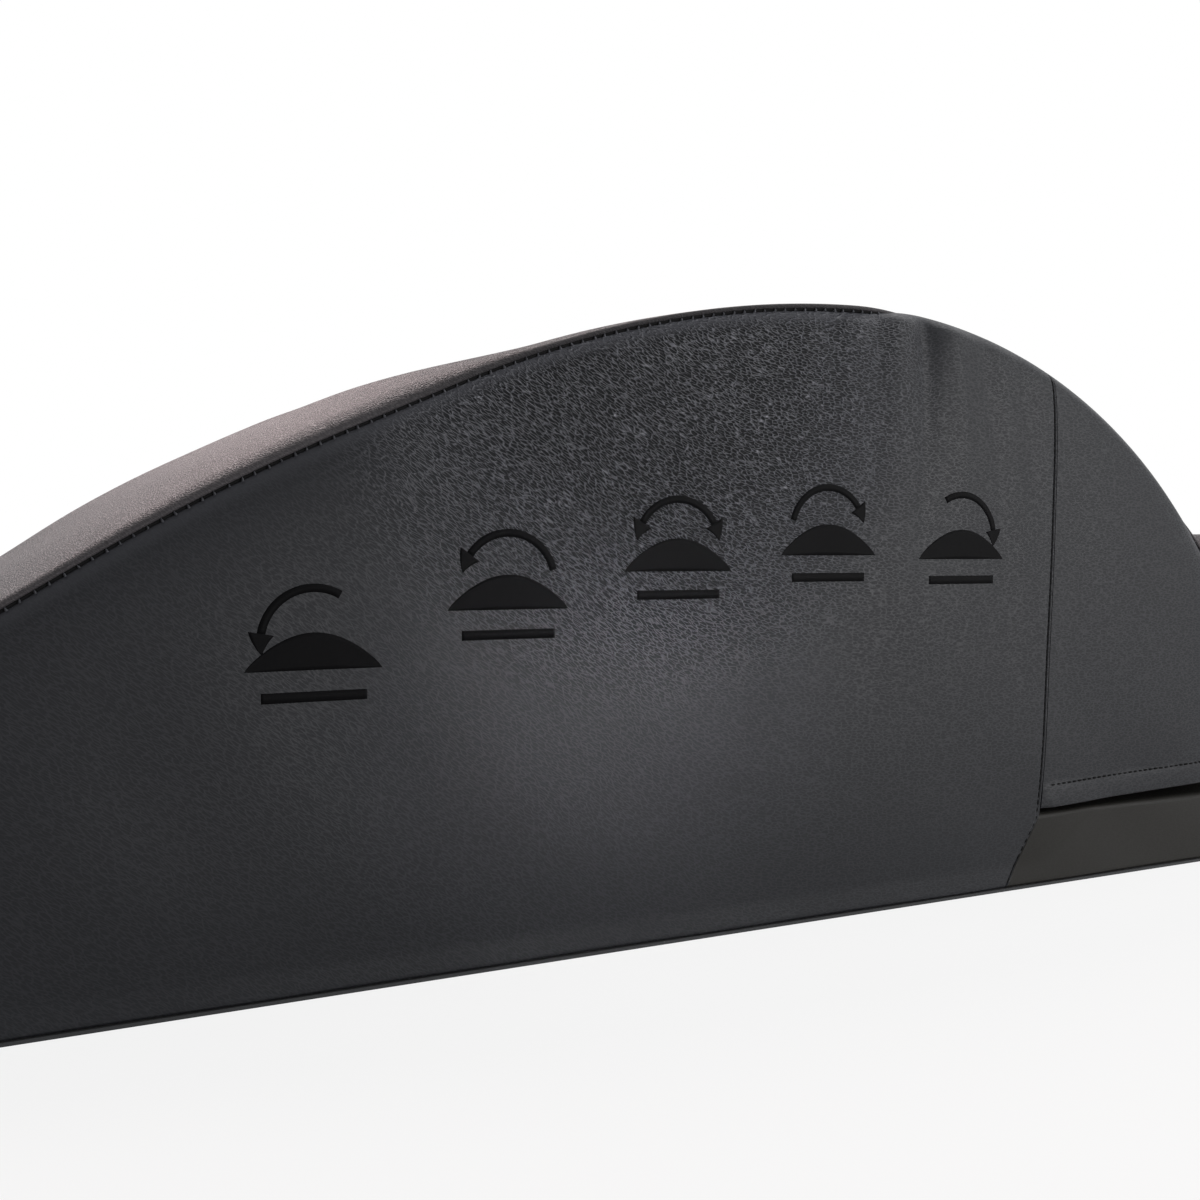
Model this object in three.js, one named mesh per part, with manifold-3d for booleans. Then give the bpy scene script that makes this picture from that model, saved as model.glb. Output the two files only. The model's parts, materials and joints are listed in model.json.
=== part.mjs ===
// Pilates spine corrector: a foam barrel, hip well and step under a sewn leatherette cover,
// on a plywood base, with a hand slot over a grab rail on each side.
// Millimetres, +Z up, +X from the foot of the long slope towards the step, the floor at z = 0.
import * as THREE from 'three'
import Module from 'manifold-3d'
import { mergeVertices } from 'three/addons/utils/BufferGeometryUtils.js'

// Fits
const CLEARANCE = 0.3
const OVERRUN = 6
const TOLERANCE = 0.0003

// Seam line seen from the side, from the floor at the foot to the floor at the step's end
const FOOT_FACE = 46
const FOOT_EDGE_RADIUS = 24
const FOOT_SLOPE = THREE.MathUtils.degToRad(31.5)
const FOOT_BEND_RADIUS = 940
const BACK_SLOPE = THREE.MathUtils.degToRad(24)
const BACK_RUN = 52
const BACK_RADIUS = 534
const PEAK_HEIGHT = 300
const FRONT_RADIUS = 300
const FRONT_RUN = 74
const WELL_RADIUS = 50
const WELL_HEIGHT = 118
const STEP_RUN = 37
const STEP_RISE = 70
const STEP_FRONT_RADIUS = 26
const STEP_TOP = 95
const STEP_END_RADIUS = 24

// Upholstery
const BODY_WIDTH = 380
const COVER = 2
const PAD = 18
const LINING = 1
const SHEET = 1.5
const TOP_CROWN = 4
const TOP_CROWN_POWER = 5
const CROWN_FADE_RUN = 60
const BACK_CROWN = 8.3
const BACK_CROWN_FROM_PEAK = 253
const BACK_CROWN_RISE = 235
const BACK_CROWN_FALL = 85
const SEAM_DIP_RUN = 40
const SEAM_DIP_SHARE = 0.6
const SIDE_CROWN = 5
const SIDE_CROWN_POWER = 4
const FULL_CROWN_HEIGHT = 160
const FOAM_SWELL_SHARE = 0.5

// Base board and its corners in plan
const BOARD = 12
const BOARD_CORNER = 3

// Hand slots and the grab rails below them
const SLOT_FROM_PEAK = 107.5
const SLOT_FROM_END = 62
const SLOT_DEPTH = 73
const SLIT_AT_ENDS = 2.4
const SLIT_AT_WELL = 8.8
const ARCH_RISE = 22
const ARCH_LENGTH = 150
const RAIL_HEIGHT = 24
const RAIL_DEPTH = 28
const RAIL_EDGE = 3

// Upright seam between the barrel's side panel and the step's, with the kink at the slot
const SEAM_LEAN_ABOVE = 11
const SEAM_LEAN_BELOW = 20
const SEAM_BLEND = 60

// Countersunk wood screws that hold each rail from under the board
const SCREWS_PER_RAIL = 3
const SCREW_LENGTH = 30
const SCREW_RADIUS = 2.2
const SCREW_POINT = 5
const SCREW_HEAD_RADIUS = 4.2
const SCREW_HEAD_RIM = 0.8
const SCREW_HEAD_CONE = 2.4
const SCREW_END_INSET = 40

// Facets
const STATION_SPACING = 34
const STATION_TURN = THREE.MathUtils.degToRad(15)
const STATIONS_APART = 5
const WIDTH_STEPS = 8
const LEVEL_STEPS = 6
const CORE_LEVEL_STEPS = 5
const ROUND_SEGMENTS = 12
const CORNER_SEGMENTS = 3
const LIP_STEPS = 2

// Heights and widths that follow from the sizes above
const BODY_HALF = BODY_WIDTH / 2
const FORM_HALF = BODY_HALF - COVER
const FOAM_HALF = FORM_HALF - CLEARANCE
const COVER_BOTTOM = SHEET + CLEARANCE
const BOARD_TOP = COVER_BOTTOM + BOARD
const FOAM_BOTTOM = BOARD_TOP + CLEARANCE
const RAIL_TOP = FOAM_BOTTOM + RAIL_HEIGHT
const RAIL_INNER = FOAM_HALF - RAIL_DEPTH
const LIP_HEIGHT = RAIL_TOP + CLEARANCE + COVER
const KINK_HEIGHT = LIP_HEIGHT - RAIL_EDGE
const SLOT_WALL = FORM_HALF - SLOT_DEPTH
const CORE_TOP_INSET = PAD + CLEARANCE
const CORE_FLOOR = LIP_HEIGHT + SLIT_AT_ENDS + LINING + CLEARANCE

const clamp01 = (value) => Math.min(1, Math.max(0, value))
const smooth = (share) => THREE.MathUtils.smoothstep(share, 0, 1)

// Slope at which two tangent arcs of the summed radius and the straight run between them climb rise.
function slopeFor(radii, run, rise) {
  return Math.acos((radii - rise) / Math.hypot(radii, run)) - Math.atan2(run, radii)
}

// A chain of straight runs and arcs that meet tangentially, measured by its arc length.
class SeamLine {
  constructor() {
    this.parts = []
    this.end = { x: 0, z: 0, heading: Math.PI / 2 }
    this.length = 0
  }

  run(length) {
    return this.add({ length, turn: 0 })
  }

  bend(radius, turn) {
    return this.add({ length: radius * Math.abs(turn), turn })
  }

  add(part) {
    this.parts.push({ ...part, ...this.end, from: this.length })
    this.length += part.length
    this.end = this.at(this.length)
    return this
  }

  at(s) {
    const part = this.parts.findLast((candidate) => s >= candidate.from) ?? this.parts[0]
    const along = s - part.from
    if (part.turn === 0) {
      return {
        x: part.x + along * Math.cos(part.heading),
        z: part.z + along * Math.sin(part.heading),
        heading: part.heading,
      }
    }
    const heading = part.heading + (part.turn * along) / part.length
    const signedRadius = part.length / part.turn
    return {
      x: part.x + signedRadius * (Math.sin(heading) - Math.sin(part.heading)),
      z: part.z - signedRadius * (Math.cos(heading) - Math.cos(part.heading)),
      heading,
    }
  }

  // The point beside the line at s, moved outwards by height.
  beside(s, height) {
    const { x, z, heading } = this.at(s)
    return { x: x - height * Math.sin(heading), z: z + height * Math.cos(heading) }
  }

  // Arc length at which the line, moved outwards by height, passes x.
  arcAt(x, height = 0) {
    let low = this.parts[0].length
    let high = this.length - this.parts.at(-1).length
    while (high - low > TOLERANCE) {
      const middle = (low + high) / 2
      if (this.beside(middle, height).x < x) low = middle
      else high = middle
    }
    return low
  }

  stations(marks) {
    const regular = this.parts.flatMap((part) => {
      const steps = Math.ceil(Math.max(part.length / STATION_SPACING, Math.abs(part.turn) / STATION_TURN))
      return Array.from({ length: steps }, (_, i) => part.from + (part.length * i) / steps)
    })
    const kept = regular.filter((s) => marks.every((mark) => Math.abs(s - mark) > STATIONS_APART))
    return [...kept, ...marks].sort((a, b) => a - b)
  }
}

function seamLineOfBody() {
  const curvedRise =
    FOOT_FACE +
    FOOT_EDGE_RADIUS * Math.cos(FOOT_SLOPE) +
    FOOT_BEND_RADIUS * (Math.cos(BACK_SLOPE) - Math.cos(FOOT_SLOPE)) +
    BACK_RUN * Math.sin(BACK_SLOPE) +
    BACK_RADIUS * (1 - Math.cos(BACK_SLOPE))
  const front = slopeFor(FRONT_RADIUS + WELL_RADIUS, FRONT_RUN, PEAK_HEIGHT - WELL_HEIGHT)
  const step = slopeFor(WELL_RADIUS + STEP_FRONT_RADIUS, STEP_RUN, STEP_RISE)
  const line = new SeamLine()
  line.run(FOOT_FACE).bend(FOOT_EDGE_RADIUS, FOOT_SLOPE - Math.PI / 2)
  line.run((PEAK_HEIGHT - curvedRise) / Math.sin(FOOT_SLOPE)).bend(FOOT_BEND_RADIUS, BACK_SLOPE - FOOT_SLOPE)
  line.run(BACK_RUN).bend(BACK_RADIUS, -BACK_SLOPE)
  const peak = line.length
  line.bend(FRONT_RADIUS, -front).run(FRONT_RUN).bend(WELL_RADIUS, front)
  const well = line.length
  line.bend(WELL_RADIUS, step).run(STEP_RUN).bend(STEP_FRONT_RADIUS, -step)
  line.run(STEP_TOP).bend(STEP_END_RADIUS, -Math.PI / 2)
  line.run(WELL_HEIGHT + STEP_RISE - STEP_END_RADIUS)
  return { line, peak, well }
}

const { line: SEAM, peak: PEAK_ARC, well: WELL_ARC } = seamLineOfBody()
const WELL_X = SEAM.at(WELL_ARC).x
const END_X = SEAM.end.x
const SLOT_START = SEAM.at(PEAK_ARC).x + SLOT_FROM_PEAK
const SLOT_END = END_X - SLOT_FROM_END
const SLOT_LENGTH = SLOT_END - SLOT_START
const SEAM_TOP_X = SLOT_START + SEAM_LEAN_ABOVE
const SEAM_TOP_ARC = SEAM.arcAt(SEAM_TOP_X)
const SEAM_TOP_Z = SEAM.at(SEAM_TOP_ARC).z
const SLOT_ARC = SEAM.arcAt(SLOT_START, -CORE_TOP_INSET)
const LEG_ARCS = [SLOT_END + 2 * CLEARANCE, SLOT_END + 2 * CLEARANCE + SEAM_LEAN_BELOW].map((x) => SEAM.arcAt(x))
const STATIONS = SEAM.stations([
  COVER_BOTTOM,
  FOAM_BOTTOM,
  SEAM_TOP_ARC,
  SLOT_ARC,
  WELL_ARC,
  ...LEG_ARCS,
  SEAM.length - FOAM_BOTTOM,
  SEAM.length - COVER_BOTTOM,
])
const FACE_TOP_ARC = FOOT_FACE
const FACE_END_ARC = SEAM.length - SEAM.parts.at(-1).length

const stationsBetween = (from, to) => [from, ...STATIONS.filter((s) => s > from && s < to), to]
const shares = (steps) => Array.from({ length: steps + 1 }, (_, i) => (1 - Math.cos((Math.PI * i) / steps)) / 2)

// Height of the slot's upper lip at x: a slit that opens towards the well, with an arch for the hand.
function slotCeiling(x) {
  const towardsWell = clamp01(Math.min((x - SLOT_START) / (WELL_X - SLOT_START), (SLOT_END - x) / (SLOT_END - WELL_X)))
  const slit = THREE.MathUtils.lerp(SLIT_AT_ENDS, SLIT_AT_WELL, towardsWell)
  const fromWell = clamp01(Math.abs(x - WELL_X) / (ARCH_LENGTH / 2))
  return LIP_HEIGHT + slit + ARCH_RISE * Math.cos((fromWell * Math.PI) / 2) ** 2
}

// How far the cover stands out from the side seam's plane at x, z.
function sideCrown(x, z) {
  const intoSlot = smooth(clamp01(Math.min(x - SLOT_START, SLOT_END - x) / SEAM_BLEND))
  const low = THREE.MathUtils.lerp(BOARD_TOP, slotCeiling(x), intoSlot)
  const top = SEAM.at(SEAM.arcAt(x)).z
  const share = clamp01((z - low) / (top - low))
  const ends = smooth(clamp01(Math.min(x, END_X - x) / CROWN_FADE_RUN))
  const room = clamp01((top - low) / FULL_CROWN_HEIGHT)
  return SIDE_CROWN * room * ends * (1 - Math.abs(2 * share - 1) ** SIDE_CROWN_POWER)
}

// How far the top cover stands above the seam line at arc length s and half-width y. It is fullest on the slope.
function topCrown(s, y) {
  const ends = smooth(clamp01(Math.min(s, SEAM.length - s) / CROWN_FADE_RUN))
  const dip = SEAM_DIP_SHARE * (1 - smooth(clamp01(Math.abs(s - WELL_ARC) / SEAM_DIP_RUN)))
  const pastFullest = s - (PEAK_ARC - BACK_CROWN_FROM_PEAK)
  const away = Math.max(-pastFullest / BACK_CROWN_RISE, pastFullest / BACK_CROWN_FALL)
  const middle = TOP_CROWN * ends * (1 - dip) + BACK_CROWN * (1 - smooth(clamp01(away)))
  return middle * (1 - Math.abs(y / BODY_HALF) ** TOP_CROWN_POWER)
}

// How far left of its top the upright seam runs at height z.
function seamLean(z) {
  if (z < KINK_HEIGHT) return SEAM_LEAN_ABOVE + SEAM_LEAN_BELOW * (1 - z / KINK_HEIGHT)
  return SEAM_LEAN_ABOVE * clamp01((SEAM_TOP_Z - z) / (SEAM_TOP_Z - KINK_HEIGHT))
}

function flatten(points) {
  return points.flatMap((point) => point.toArray())
}

function enclosedVolume(positions, index) {
  const corner = (i) => new THREE.Vector3().fromArray(positions, 3 * index[i])
  let volume = 0
  for (let i = 0; i < index.length; i += 3) {
    volume += corner(i).dot(corner(i + 1).cross(corner(i + 2)))
  }
  return volume
}

// A closed solid through sections, each a pair of equal chains of points that face each other.
function loft(sections) {
  const rings = sections.map(([outer, inner]) => [...outer, ...inner.toReversed()])
  const count = rings[0].length
  const positions = flatten(rings.flat())
  const index = []
  const quad = (a, b, c, d) => index.push(a, b, c, a, c, d)
  for (let i = 0; i + 1 < rings.length; i++) {
    for (let j = 0; j < count; j++) {
      const next = (j + 1) % count
      const corners = [i * count + j, i * count + next, (i + 1) * count + next, (i + 1) * count + j]
      const isOuter = j < count / 2
      // Both faces of a layer are split along the same diagonal, so that they stay parallel.
      if (isOuter) quad(...corners)
      else quad(...corners.slice(1), corners[0])
    }
  }
  const last = (rings.length - 1) * count
  for (let j = 0; j + 1 < count / 2; j++) {
    const across = count - 1 - j
    quad(j, across, across - 1, j + 1)
    quad(last + j, last + j + 1, last + across - 1, last + across)
  }
  if (enclosedVolume(positions, index) < 0) index.reverse()
  const geometry = new THREE.BufferGeometry()
  geometry.setAttribute('position', new THREE.Float32BufferAttribute(positions, 3))
  geometry.setIndex(index)
  return geometry
}

const wasm = await Module()
wasm.setup()

function toSolid(geometry) {
  const bare = geometry.clone()
  bare.deleteAttribute('normal')
  bare.deleteAttribute('uv')
  const merged = mergeVertices(bare, TOLERANCE)
  return new wasm.Manifold(
    new wasm.Mesh({
      numProp: 3,
      vertProperties: new Float32Array(merged.attributes.position.array),
      triVerts: new Uint32Array(merged.index.array),
    }),
  )
}

function cut(geometry, cutters) {
  const result = cutters.reduce((body, cutter) => body.subtract(toSolid(cutter)), toSolid(geometry))
  const mesh = result.getMesh()
  const cutGeometry = new THREE.BufferGeometry()
  cutGeometry.setAttribute('position', new THREE.Float32BufferAttribute(mesh.vertProperties, 3))
  cutGeometry.setIndex(Array.from(mesh.triVerts))
  return cutGeometry
}

function extrude(shape, depth, curveSegments = CORNER_SEGMENTS) {
  return new THREE.ExtrudeGeometry(shape, { depth, bevelEnabled: false, curveSegments })
}

// An outline in x and z, extruded from the plane y = from towards lower y.
function extrudeAcross(shape, from, depth) {
  const axes = new THREE.Matrix4().makeBasis(
    new THREE.Vector3(1, 0, 0),
    new THREE.Vector3(0, 0, 1),
    new THREE.Vector3(0, -1, 0),
  )
  return extrude(shape, depth).applyMatrix4(axes).translate(0, from, 0)
}

// A section in y and z, extruded along x.
function extrudeAlong(shape, from, depth) {
  const axes = new THREE.Matrix4().makeBasis(
    new THREE.Vector3(0, 1, 0),
    new THREE.Vector3(0, 0, 1),
    new THREE.Vector3(1, 0, 0),
  )
  return extrude(shape, depth).applyMatrix4(axes).translate(from, 0, 0)
}

function roundedPlan(fromX, toX, half, radius) {
  const shape = new THREE.Shape()
  shape.moveTo(fromX + radius, -half)
  shape.lineTo(toX - radius, -half)
  shape.absarc(toX - radius, radius - half, radius, -Math.PI / 2, 0)
  shape.lineTo(toX, half - radius)
  shape.absarc(toX - radius, half - radius, radius, 0, Math.PI / 2)
  shape.lineTo(fromX + radius, half)
  shape.absarc(fromX + radius, half - radius, radius, Math.PI / 2, Math.PI)
  shape.lineTo(fromX, radius - half)
  shape.absarc(fromX + radius, radius - half, radius, Math.PI, Math.PI * 1.5)
  return shape
}

// Padded strips: layers over the seam line, with the crown across their width.
function widthPlaces(half) {
  const inner = shares(WIDTH_STEPS).slice(1, -1).map((share) => BODY_HALF * (2 * share - 1))
  return [-half, ...inner, half]
}

function stripSection(s, half, low, high) {
  const place = (y, height) => {
    const { x, z } = SEAM.beside(s, height)
    return new THREE.Vector3(x, y, z)
  }
  const ys = widthPlaces(half)
  return [ys.map((y) => place(y, high(y))), ys.map((y) => place(y, low(y)))]
}

function topCover(from, to) {
  const section = (s) => {
    const crown = (y) => topCrown(s, y)
    return stripSection(s, BODY_HALF, crown, (y) => COVER + crown(y))
  }
  return loft(stationsBetween(from, to).map(section))
}

function topPad(from, to) {
  const section = (s) => {
    const high = (y) => topCrown(s, y) - CLEARANCE
    return stripSection(s, FOAM_HALF, () => -PAD, high)
  }
  return loft(stationsBetween(from, to).map(section))
}

// Foam blocks: the seam line set in by the pad, with the sides swollen under the cover.
function coreSection(s, floor) {
  const { x, z: top } = SEAM.beside(s, -CORE_TOP_INSET)
  const levels = shares(CORE_LEVEL_STEPS).map((share) => THREE.MathUtils.lerp(floor, top, share))
  const half = (z) => FOAM_HALF + FOAM_SWELL_SHARE * sideCrown(x, z)
  return [levels.map((z) => new THREE.Vector3(x, -half(z), z)), levels.map((z) => new THREE.Vector3(x, half(z), z))]
}

function barrelCore() {
  const stop = SEAM.arcAt(SLOT_START - CLEARANCE, -CORE_TOP_INSET)
  return loft(stationsBetween(FACE_TOP_ARC, stop).map((s) => coreSection(s, FOAM_BOTTOM)))
}

function slotPlaces() {
  const inside = STATIONS.map((s) => SEAM.at(s).x).filter(
    (x) => x > SLOT_START + STATIONS_APART && x < SLOT_END - STATIONS_APART,
  )
  return [SLOT_START + CLEARANCE, ...inside, SLOT_END - CLEARANCE]
}

// The arch and slit that each hand slot takes out of the step's block, as a cutter.
function slotCutter(side) {
  const roof = slotPlaces().map((x) => new THREE.Vector2(x, slotCeiling(x) + LINING + CLEARANCE))
  const shape = new THREE.Shape([
    new THREE.Vector2(roof[0].x, CORE_FLOOR - OVERRUN),
    new THREE.Vector2(roof.at(-1).x, CORE_FLOOR - OVERRUN),
    ...roof.toReversed(),
  ])
  const depth = SLOT_DEPTH + SIDE_CROWN + OVERRUN
  const from = side < 0 ? -SLOT_WALL : SLOT_WALL + depth
  return extrudeAcross(shape, from, depth)
}

function stepCore() {
  const block = loft(stationsBetween(SLOT_ARC, FACE_END_ARC).map((s) => coreSection(s, CORE_FLOOR)))
  return cut(block, [slotCutter(-1), slotCutter(1)])
}

// The narrow block between the two slots, which widens to carry the step's end.
function stepPlinth() {
  const end = END_X - CORE_TOP_INSET
  const shape = new THREE.Shape()
  shape.moveTo(SLOT_START, -SLOT_WALL)
  shape.lineTo(SLOT_END, -SLOT_WALL)
  shape.lineTo(SLOT_END, -FOAM_HALF)
  shape.lineTo(end, -FOAM_HALF)
  shape.lineTo(end, FOAM_HALF)
  shape.lineTo(SLOT_END, FOAM_HALF)
  shape.lineTo(SLOT_END, SLOT_WALL)
  shape.lineTo(SLOT_START, SLOT_WALL)
  return extrude(shape, CORE_FLOOR - CLEARANCE - FOAM_BOTTOM).translate(0, 0, FOAM_BOTTOM)
}

// Side panels: skins that follow the seam line, with the crown worked into them.
function panelSection(s, side, panelBottom) {
  const { x: topX, z: top } = SEAM.beside(s, -CLEARANCE)
  const bottom = panelBottom(topX)
  const pull = clamp01(1 - Math.abs(topX - SEAM_TOP_X) / SEAM_BLEND)
  const chain = (depth) =>
    shares(LEVEL_STEPS).map((share) => {
      const z = THREE.MathUtils.lerp(bottom, top, share)
      const x = topX - pull * seamLean(z)
      return new THREE.Vector3(x, side * (FORM_HALF + depth + sideCrown(x, z)), z)
    })
  return [chain(COVER), chain(0)]
}

function barrelSide(side) {
  const places = stationsBetween(FACE_TOP_ARC, SEAM_TOP_ARC - CLEARANCE)
  return loft(places.map((s) => panelSection(s, side, () => COVER_BOTTOM)))
}

function stepSideBottom(x) {
  const legShare = clamp01((x - SLOT_END - 2 * CLEARANCE) / SEAM_LEAN_BELOW)
  return THREE.MathUtils.lerp(slotCeiling(x), COVER_BOTTOM, legShare)
}

function stepSide(side) {
  const places = stationsBetween(SEAM_TOP_ARC + CLEARANCE, FACE_END_ARC)
  return loft(places.map((s) => panelSection(s, side, stepSideBottom)))
}

// Grab rails
function railBatten(side) {
  const outer = side * FOAM_HALF
  const inner = side * RAIL_INNER
  const turn = -side
  const shape = new THREE.Shape()
  shape.moveTo(outer, FOAM_BOTTOM)
  shape.lineTo(outer, RAIL_TOP - RAIL_EDGE)
  shape.quadraticCurveTo(outer, RAIL_TOP, outer + turn * RAIL_EDGE, RAIL_TOP)
  shape.lineTo(inner - turn * RAIL_EDGE, RAIL_TOP)
  shape.quadraticCurveTo(inner, RAIL_TOP, inner, RAIL_TOP - RAIL_EDGE)
  shape.lineTo(inner, FOAM_BOTTOM)
  return extrudeAlong(shape, SLOT_START + CLEARANCE, SLOT_LENGTH - 2 * CLEARANCE)
}

function grabRail(side) {
  return cut(railBatten(side), screwPlaces(side).map((place) => screw(place, CLEARANCE)))
}

// The rail's cover: up the outer face, over a rounded lip and across the top to the slot's lining.
function railCoverSection(x, side) {
  const pull = clamp01(1 - (x - SLOT_START) / SEAM_BLEND) - clamp01(1 - (SLOT_END - x) / SEAM_BLEND)
  const place = (out, z) => {
    const placeX = x - pull * SEAM_LEAN_BELOW * clamp01(1 - z / KINK_HEIGHT)
    return new THREE.Vector3(placeX, side * (out + sideCrown(placeX, z)), z)
  }
  const topEnd = RAIL_INNER - CLEARANCE - LINING
  const chain = (depth) => {
    const face = FORM_HALF + depth
    const top = LIP_HEIGHT - COVER + depth
    const radius = RAIL_EDGE - COVER + depth
    const corner = Array.from({ length: LIP_STEPS + 1 }, (_, step) => {
      const angle = ((step / LIP_STEPS) * Math.PI) / 2
      return place(face - radius * (1 - Math.cos(angle)), top - radius * (1 - Math.sin(angle)))
    })
    return [place(face, COVER_BOTTOM), ...corner, new THREE.Vector3(x, side * topEnd, top)]
  }
  return [chain(COVER), chain(0)]
}

function railCover(side) {
  return loft(slotPlaces().map((x) => railCoverSection(x, side)))
}

// The lining: along the slot's roof, down its back wall, over the board and up the rail.
function liningSection(x, side) {
  const roof = slotCeiling(x)
  const point = (y, z) => new THREE.Vector3(x, side * y, z)
  const chain = (inset) => [
    point(FOAM_HALF, roof + LINING - inset),
    point(SLOT_WALL + CLEARANCE + inset, roof + LINING - inset),
    point(SLOT_WALL + CLEARANCE + inset, FOAM_BOTTOM + inset),
    point(RAIL_INNER - CLEARANCE - inset, FOAM_BOTTOM + inset),
    point(RAIL_INNER - CLEARANCE - inset, RAIL_TOP),
  ]
  return [chain(0), chain(LINING)]
}

function slotLining(side) {
  return loft(slotPlaces().map((x) => liningSection(x, side)))
}

// Base board, bottom sheet and screws
function screwPlaces(side) {
  const y = side * (FOAM_HALF - RAIL_DEPTH / 2)
  const first = SLOT_START + SCREW_END_INSET
  const pitch = (SLOT_LENGTH - 2 * SCREW_END_INSET) / (SCREWS_PER_RAIL - 1)
  return Array.from({ length: SCREWS_PER_RAIL }, (_, i) => new THREE.Vector3(first + i * pitch, y, COVER_BOTTOM))
}

// A screw seen from its head up, or with grow set, the hole that it needs.
function screw(place, grow = 0) {
  const start = grow > 0 ? -OVERRUN : 0
  const profile = [
    new THREE.Vector2(0, start),
    new THREE.Vector2(SCREW_HEAD_RADIUS + grow, start),
    new THREE.Vector2(SCREW_HEAD_RADIUS + grow, SCREW_HEAD_RIM + grow),
    new THREE.Vector2(SCREW_RADIUS + grow, SCREW_HEAD_RIM + SCREW_HEAD_CONE + grow),
    new THREE.Vector2(SCREW_RADIUS + grow, SCREW_LENGTH - SCREW_POINT + grow),
    new THREE.Vector2(0, SCREW_LENGTH + 2 * grow),
  ]
  const turned = new THREE.LatheGeometry(profile, ROUND_SEGMENTS).rotateX(Math.PI / 2)
  return turned.translate(place.x, place.y, place.z)
}

function baseBoard() {
  const plan = roundedPlan(CLEARANCE, END_X - CLEARANCE, FOAM_HALF, BOARD_CORNER)
  const board = extrude(plan, BOARD).translate(0, 0, COVER_BOTTOM)
  return cut(board, [...screwPlaces(-1), ...screwPlaces(1)].map((place) => screw(place, CLEARANCE)))
}

function bottomSheet() {
  return extrude(roundedPlan(-COVER, END_X + COVER, BODY_HALF, BOARD_CORNER), SHEET)
}

const FINISH = {
  leatherette: { color: 0x46464a, roughness: 0.5, metalness: 0 },
  topLeatherette: { color: 0x5a5355, roughness: 0.5, metalness: 0 },
  lining: { color: 0x0c0c0d, roughness: 0.9, metalness: 0 },
  sheet: { color: 0x151517, roughness: 0.85, metalness: 0 },
  foam: { color: 0x8f9498, roughness: 0.95, metalness: 0 },
  softFoam: { color: 0xd9d3bd, roughness: 0.95, metalness: 0 },
  plywood: { color: 0xb98f5e, roughness: 0.7, metalness: 0 },
  steel: { color: 0xb9b6a2, roughness: 0.35, metalness: 1 },
}

function piece(name, geometry, finish) {
  const mesh = new THREE.Mesh(geometry, new THREE.MeshStandardMaterial(FINISH[finish]))
  mesh.name = name
  return mesh
}

const SIDES = { near: -1, far: 1 }

function base() {
  const group = new THREE.Group()
  group.add(piece('base_board', baseBoard(), 'plywood'), piece('bottom_sheet', bottomSheet(), 'sheet'))
  return group
}

function foamBody() {
  const group = new THREE.Group()
  group.add(
    piece('barrel_core', barrelCore(), 'foam'),
    piece('step_core', stepCore(), 'foam'),
    piece('step_plinth', stepPlinth(), 'foam'),
    piece('barrel_pad', topPad(FOAM_BOTTOM, WELL_ARC - CLEARANCE / 2), 'softFoam'),
    piece('step_pad', topPad(WELL_ARC + CLEARANCE / 2, SEAM.length - FOAM_BOTTOM), 'softFoam'),
  )
  return group
}

function topCovers() {
  const group = new THREE.Group()
  group.add(
    piece('barrel_top_cover', topCover(COVER_BOTTOM, WELL_ARC - CLEARANCE / 2), 'topLeatherette'),
    piece('step_top_cover', topCover(WELL_ARC + CLEARANCE / 2, SEAM.length - COVER_BOTTOM), 'topLeatherette'),
  )
  return group
}

function sideOfBody(name, side) {
  const group = new THREE.Group()
  group.add(
    piece(`barrel_side_${name}`, barrelSide(side), 'leatherette'),
    piece(`step_side_${name}`, stepSide(side), 'leatherette'),
    piece(`rail_cover_${name}`, railCover(side), 'leatherette'),
    piece(`grab_rail_${name}`, grabRail(side), 'plywood'),
    piece(`slot_lining_${name}`, slotLining(side), 'lining'),
  )
  screwPlaces(side).forEach((place, i) => {
    group.add(piece(`rail_screw_${name}_${i + 1}`, screw(place), 'steel'))
  })
  return group
}

const spineCorrector = new THREE.Group()
spineCorrector.add(base(), foamBody(), topCovers())
for (const [name, side] of Object.entries(SIDES)) spineCorrector.add(sideOfBody(name, side))

// The origin is on the floor under the middle of the whole.
const extent = new THREE.Box3().setFromObject(spineCorrector)
spineCorrector.position.x = -(extent.min.x + extent.max.x) / 2

export default spineCorrector
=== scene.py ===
"""Looks of a pilates spine corrector: barrel, hip well and step under a sewn leatherette cover.

Everything is in metres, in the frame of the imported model: +X runs from the foot of the long slope
towards the step, -Y is the near side, +Z is up and the floor is z = 0.
"""
import json
import logging
import math
from collections.abc import Callable, Sequence
from dataclasses import dataclass
from enum import Enum
from functools import cached_property

import bpy
import numpy as np
from mathutils import Matrix, Vector

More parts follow.
